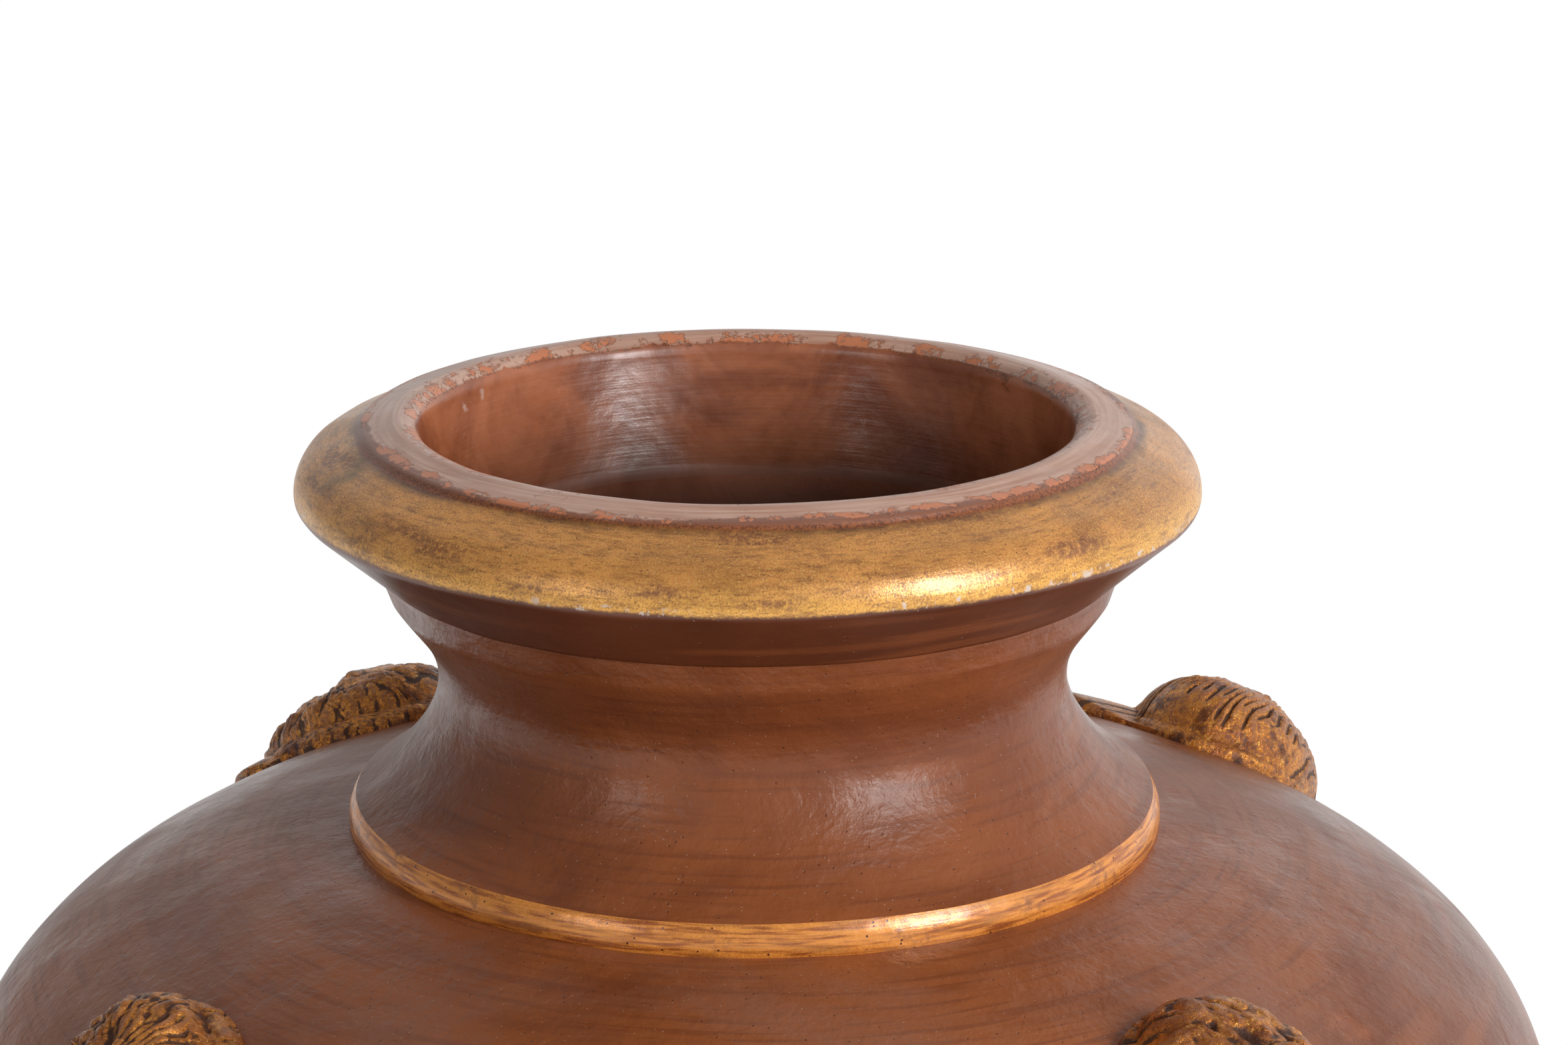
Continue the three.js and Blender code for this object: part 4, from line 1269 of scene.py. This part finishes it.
class VASE_OT_masks(bpy.types.Operator):
    """Models the four lion masks and presses them onto the shoulder"""

    bl_idname = "vase.masks"
    bl_label = "Lion masks"
    bl_options = {"REGISTER", "UNDO"}

    def execute(self, context):
        scene = context.scene
        paint = mask_paint("antique gold", scene.vase_paints)
        for node, mask in MASKS.items():
            make_mask(node, mask, scene.vase_masks, scene.vase_sizes, paint)
        return {"FINISHED"}


def seen_directly(nodes, links):
    """1 for what the camera sees, also in gloss and through glass, and 0 for light on the vase."""
    path = nodes.new("ShaderNodeLightPath")
    seen = path.outputs["Is Camera Ray"]
    for name in ("Is Glossy Ray", "Is Transmission Ray"):
        either = nodes.new("ShaderNodeMath")
        either.operation = "MAXIMUM"
        links.new(seen, either.inputs[0])
        links.new(path.outputs[name], either.inputs[1])
        seen = either.outputs[0]
    return seen


def floor_white(name):
    """A matt pale floor that takes the vase's shadow and fades to white away from it."""
    white = Finish(name)
    white.give("Base Color", FLOOR_GREY)
    white.give("Roughness", 0.9)
    nodes, links = white.nodes, white.material.node_tree.links
    far = white.between(white.radius(), FLOOR_FADE_FROM, FLOOR_FADE_TO)
    glow = nodes.new("ShaderNodeEmission")
    glow.inputs["Color"].default_value = WHITE
    mixed = nodes.new("ShaderNodeMixShader")
    links.new(white.product(far, seen_directly(nodes, links)), mixed.inputs["Fac"])
    links.new(white.shader.outputs["BSDF"], mixed.inputs[1])
    links.new(glow.outputs["Emission"], mixed.inputs[2])
    output = next(node for node in nodes if node.bl_idname == "ShaderNodeOutputMaterial")
    links.new(mixed.outputs["Shader"], output.inputs["Surface"])
    return white.material


def white_room(brightness):
    """A white surround, dimmer in front of the vase and to its left, where the room is darker."""
    world = bpy.data.worlds.new("white room")
    world.use_nodes = True
    nodes, links = world.node_tree.nodes, world.node_tree.links
    nodes.clear()
    way = nodes.new("ShaderNodeSeparateXYZ")
    links.new(nodes.new("ShaderNodeTexCoord").outputs["Generated"], way.inputs[0])

    def graded(side, low, high, dim, bright):
        grade = nodes.new("ShaderNodeMapRange")
        links.new(way.outputs[side], grade.inputs["Value"])
        for name, value in (("From Min", low), ("From Max", high), ("To Min", dim), ("To Max", bright)):
            grade.inputs[name].default_value = value
        return grade.outputs["Result"]

    def chosen(factor, first, second):
        choice = nodes.new("ShaderNodeMix")
        links.new(factor, choice.inputs[0])
        for socket, value in zip((choice.inputs[2], choice.inputs[3]), (first, second)):
            if isinstance(value, bpy.types.NodeSocket):
                links.new(value, socket)
            else:
                socket.default_value = value
        return choice.outputs[0]

    path = nodes.new("ShaderNodeLightPath")
    light = graded("X", -1.0, 1.0, 0.32 * brightness, 1.55 * brightness)
    mirrored = graded("X", -0.8, 0.2, 0.40, 1.0)
    for grade in (graded("Y", -0.5, 0.5, 0.55, 1.0), graded("Z", 0.3, 0.8, 1.0, 0.4)):
        product = nodes.new("ShaderNodeMath")
        product.operation = "MULTIPLY"
        links.new(mirrored, product.inputs[0])
        links.new(grade, product.inputs[1])
        mirrored = product.outputs[0]
    strength = chosen(path.outputs["Is Glossy Ray"], light, mirrored)
    strength = chosen(path.outputs["Is Transmission Ray"], strength, 1.0)
    strength = chosen(path.outputs["Is Camera Ray"], strength, 1.0)
    background = nodes.new("ShaderNodeBackground")
    background.inputs["Color"].default_value = WHITE
    links.new(strength, background.inputs["Strength"])
    output = nodes.new("ShaderNodeOutputWorld")
    links.new(background.outputs["Background"], output.inputs["Surface"])
    return world


def hang_lamp(name, watts, azimuth, elevation, distance, width, tall):
    """Hangs a soft lamp that looks at the vase's neck."""
    aim = Vector((0.0, 0.0, NECK_FOOT))
    turn, lift = math.radians(azimuth), math.radians(elevation)
    away = Vector((math.sin(turn) * math.cos(lift), -math.cos(turn) * math.cos(lift), math.sin(lift)))
    bpy.ops.object.light_add(type="AREA", location=aim + away * distance)
    lamp = bpy.context.active_object
    lamp.name = name
    lamp.rotation_euler = away.to_track_quat("Z", "Y").to_euler()
    lamp.data.shape = "RECTANGLE"
    lamp.data.size = width
    lamp.data.size_y = tall
    lamp.data.energy = watts


class VASE_OT_studio(bpy.types.Operator):
    """Sets out the floor, the white room, the two lamps and the camera"""

    bl_idname = "vase.studio"
    bl_label = "Studio"
    bl_options = {"REGISTER", "UNDO"}

    def execute(self, context):
        scene = context.scene
        studio = scene.vase_studio
        bpy.ops.object.select_all(action="DESELECT")
        bpy.ops.mesh.primitive_plane_add(size=FLOOR_WIDTH, location=(0, 0, FOOT_BOTTOM))
        floor = context.active_object
        floor.name = "studio_floor"
        floor.data.materials.append(floor_white("studio floor"))
        scene.world = white_room(studio.surround)
        hang_lamp("key_lamp", studio.key_power, **KEY_LAMP)
        hang_lamp("fill_lamp", studio.fill_power, **FILL_LAMP)
        bpy.ops.object.camera_add(location=CAMERA_PLACE, rotation=(math.radians(CAMERA_TILT), 0.0, 0.0))
        camera = context.active_object
        camera.name = "photo_camera"
        camera.data.sensor_width = SENSOR_WIDTH
        camera.data.lens = FOCAL_LENGTH
        scene.camera = camera
        scene.view_settings.view_transform = "Standard"
        return {"FINISHED"}


class VASE_PT_panel(bpy.types.Panel):
    """Lists the vase's pieces, sizes and paints"""

    bl_idname = "VASE_PT_panel"
    bl_label = "Painted terracotta vase"
    bl_space_type = "VIEW_3D"
    bl_region_type = "UI"
    bl_category = "Vase"

    def draw(self, context):
        for operator in OPERATORS:
            self.layout.operator(operator.bl_idname)
        for group in GROUPS:
            settings = getattr(context.scene, group)
            column = self.layout.column(align=True)
            for name in settings.__annotations__:
                column.prop(settings, name)


GROUPS = {
    "vase_sizes": VaseSizes,
    "vase_masks": MaskSizes,
    "vase_paints": PaintColours,
    "vase_studio": StudioSettings,
}
OPERATORS = (VASE_OT_body, VASE_OT_neck, VASE_OT_rim, VASE_OT_masks, VASE_OT_studio)


def register():
    for group in GROUPS.values():
        bpy.utils.register_class(group)
    for operator in OPERATORS:
        bpy.utils.register_class(operator)
    bpy.utils.register_class(VASE_PT_panel)
    for name, group in GROUPS.items():
        setattr(bpy.types.Scene, name, PointerProperty(type=group))


def unregister():
    for name in GROUPS:
        delattr(bpy.types.Scene, name)
    bpy.utils.unregister_class(VASE_PT_panel)
    for operator in reversed(OPERATORS):
        bpy.utils.unregister_class(operator)
    for group in reversed(GROUPS.values()):
        bpy.utils.unregister_class(group)


def main():
    register()
    bpy.ops.vase.body()
    bpy.ops.vase.neck()
    bpy.ops.vase.rim()
    bpy.ops.vase.masks()
    bpy.ops.vase.studio()


if __name__ == "__main__":
    main()
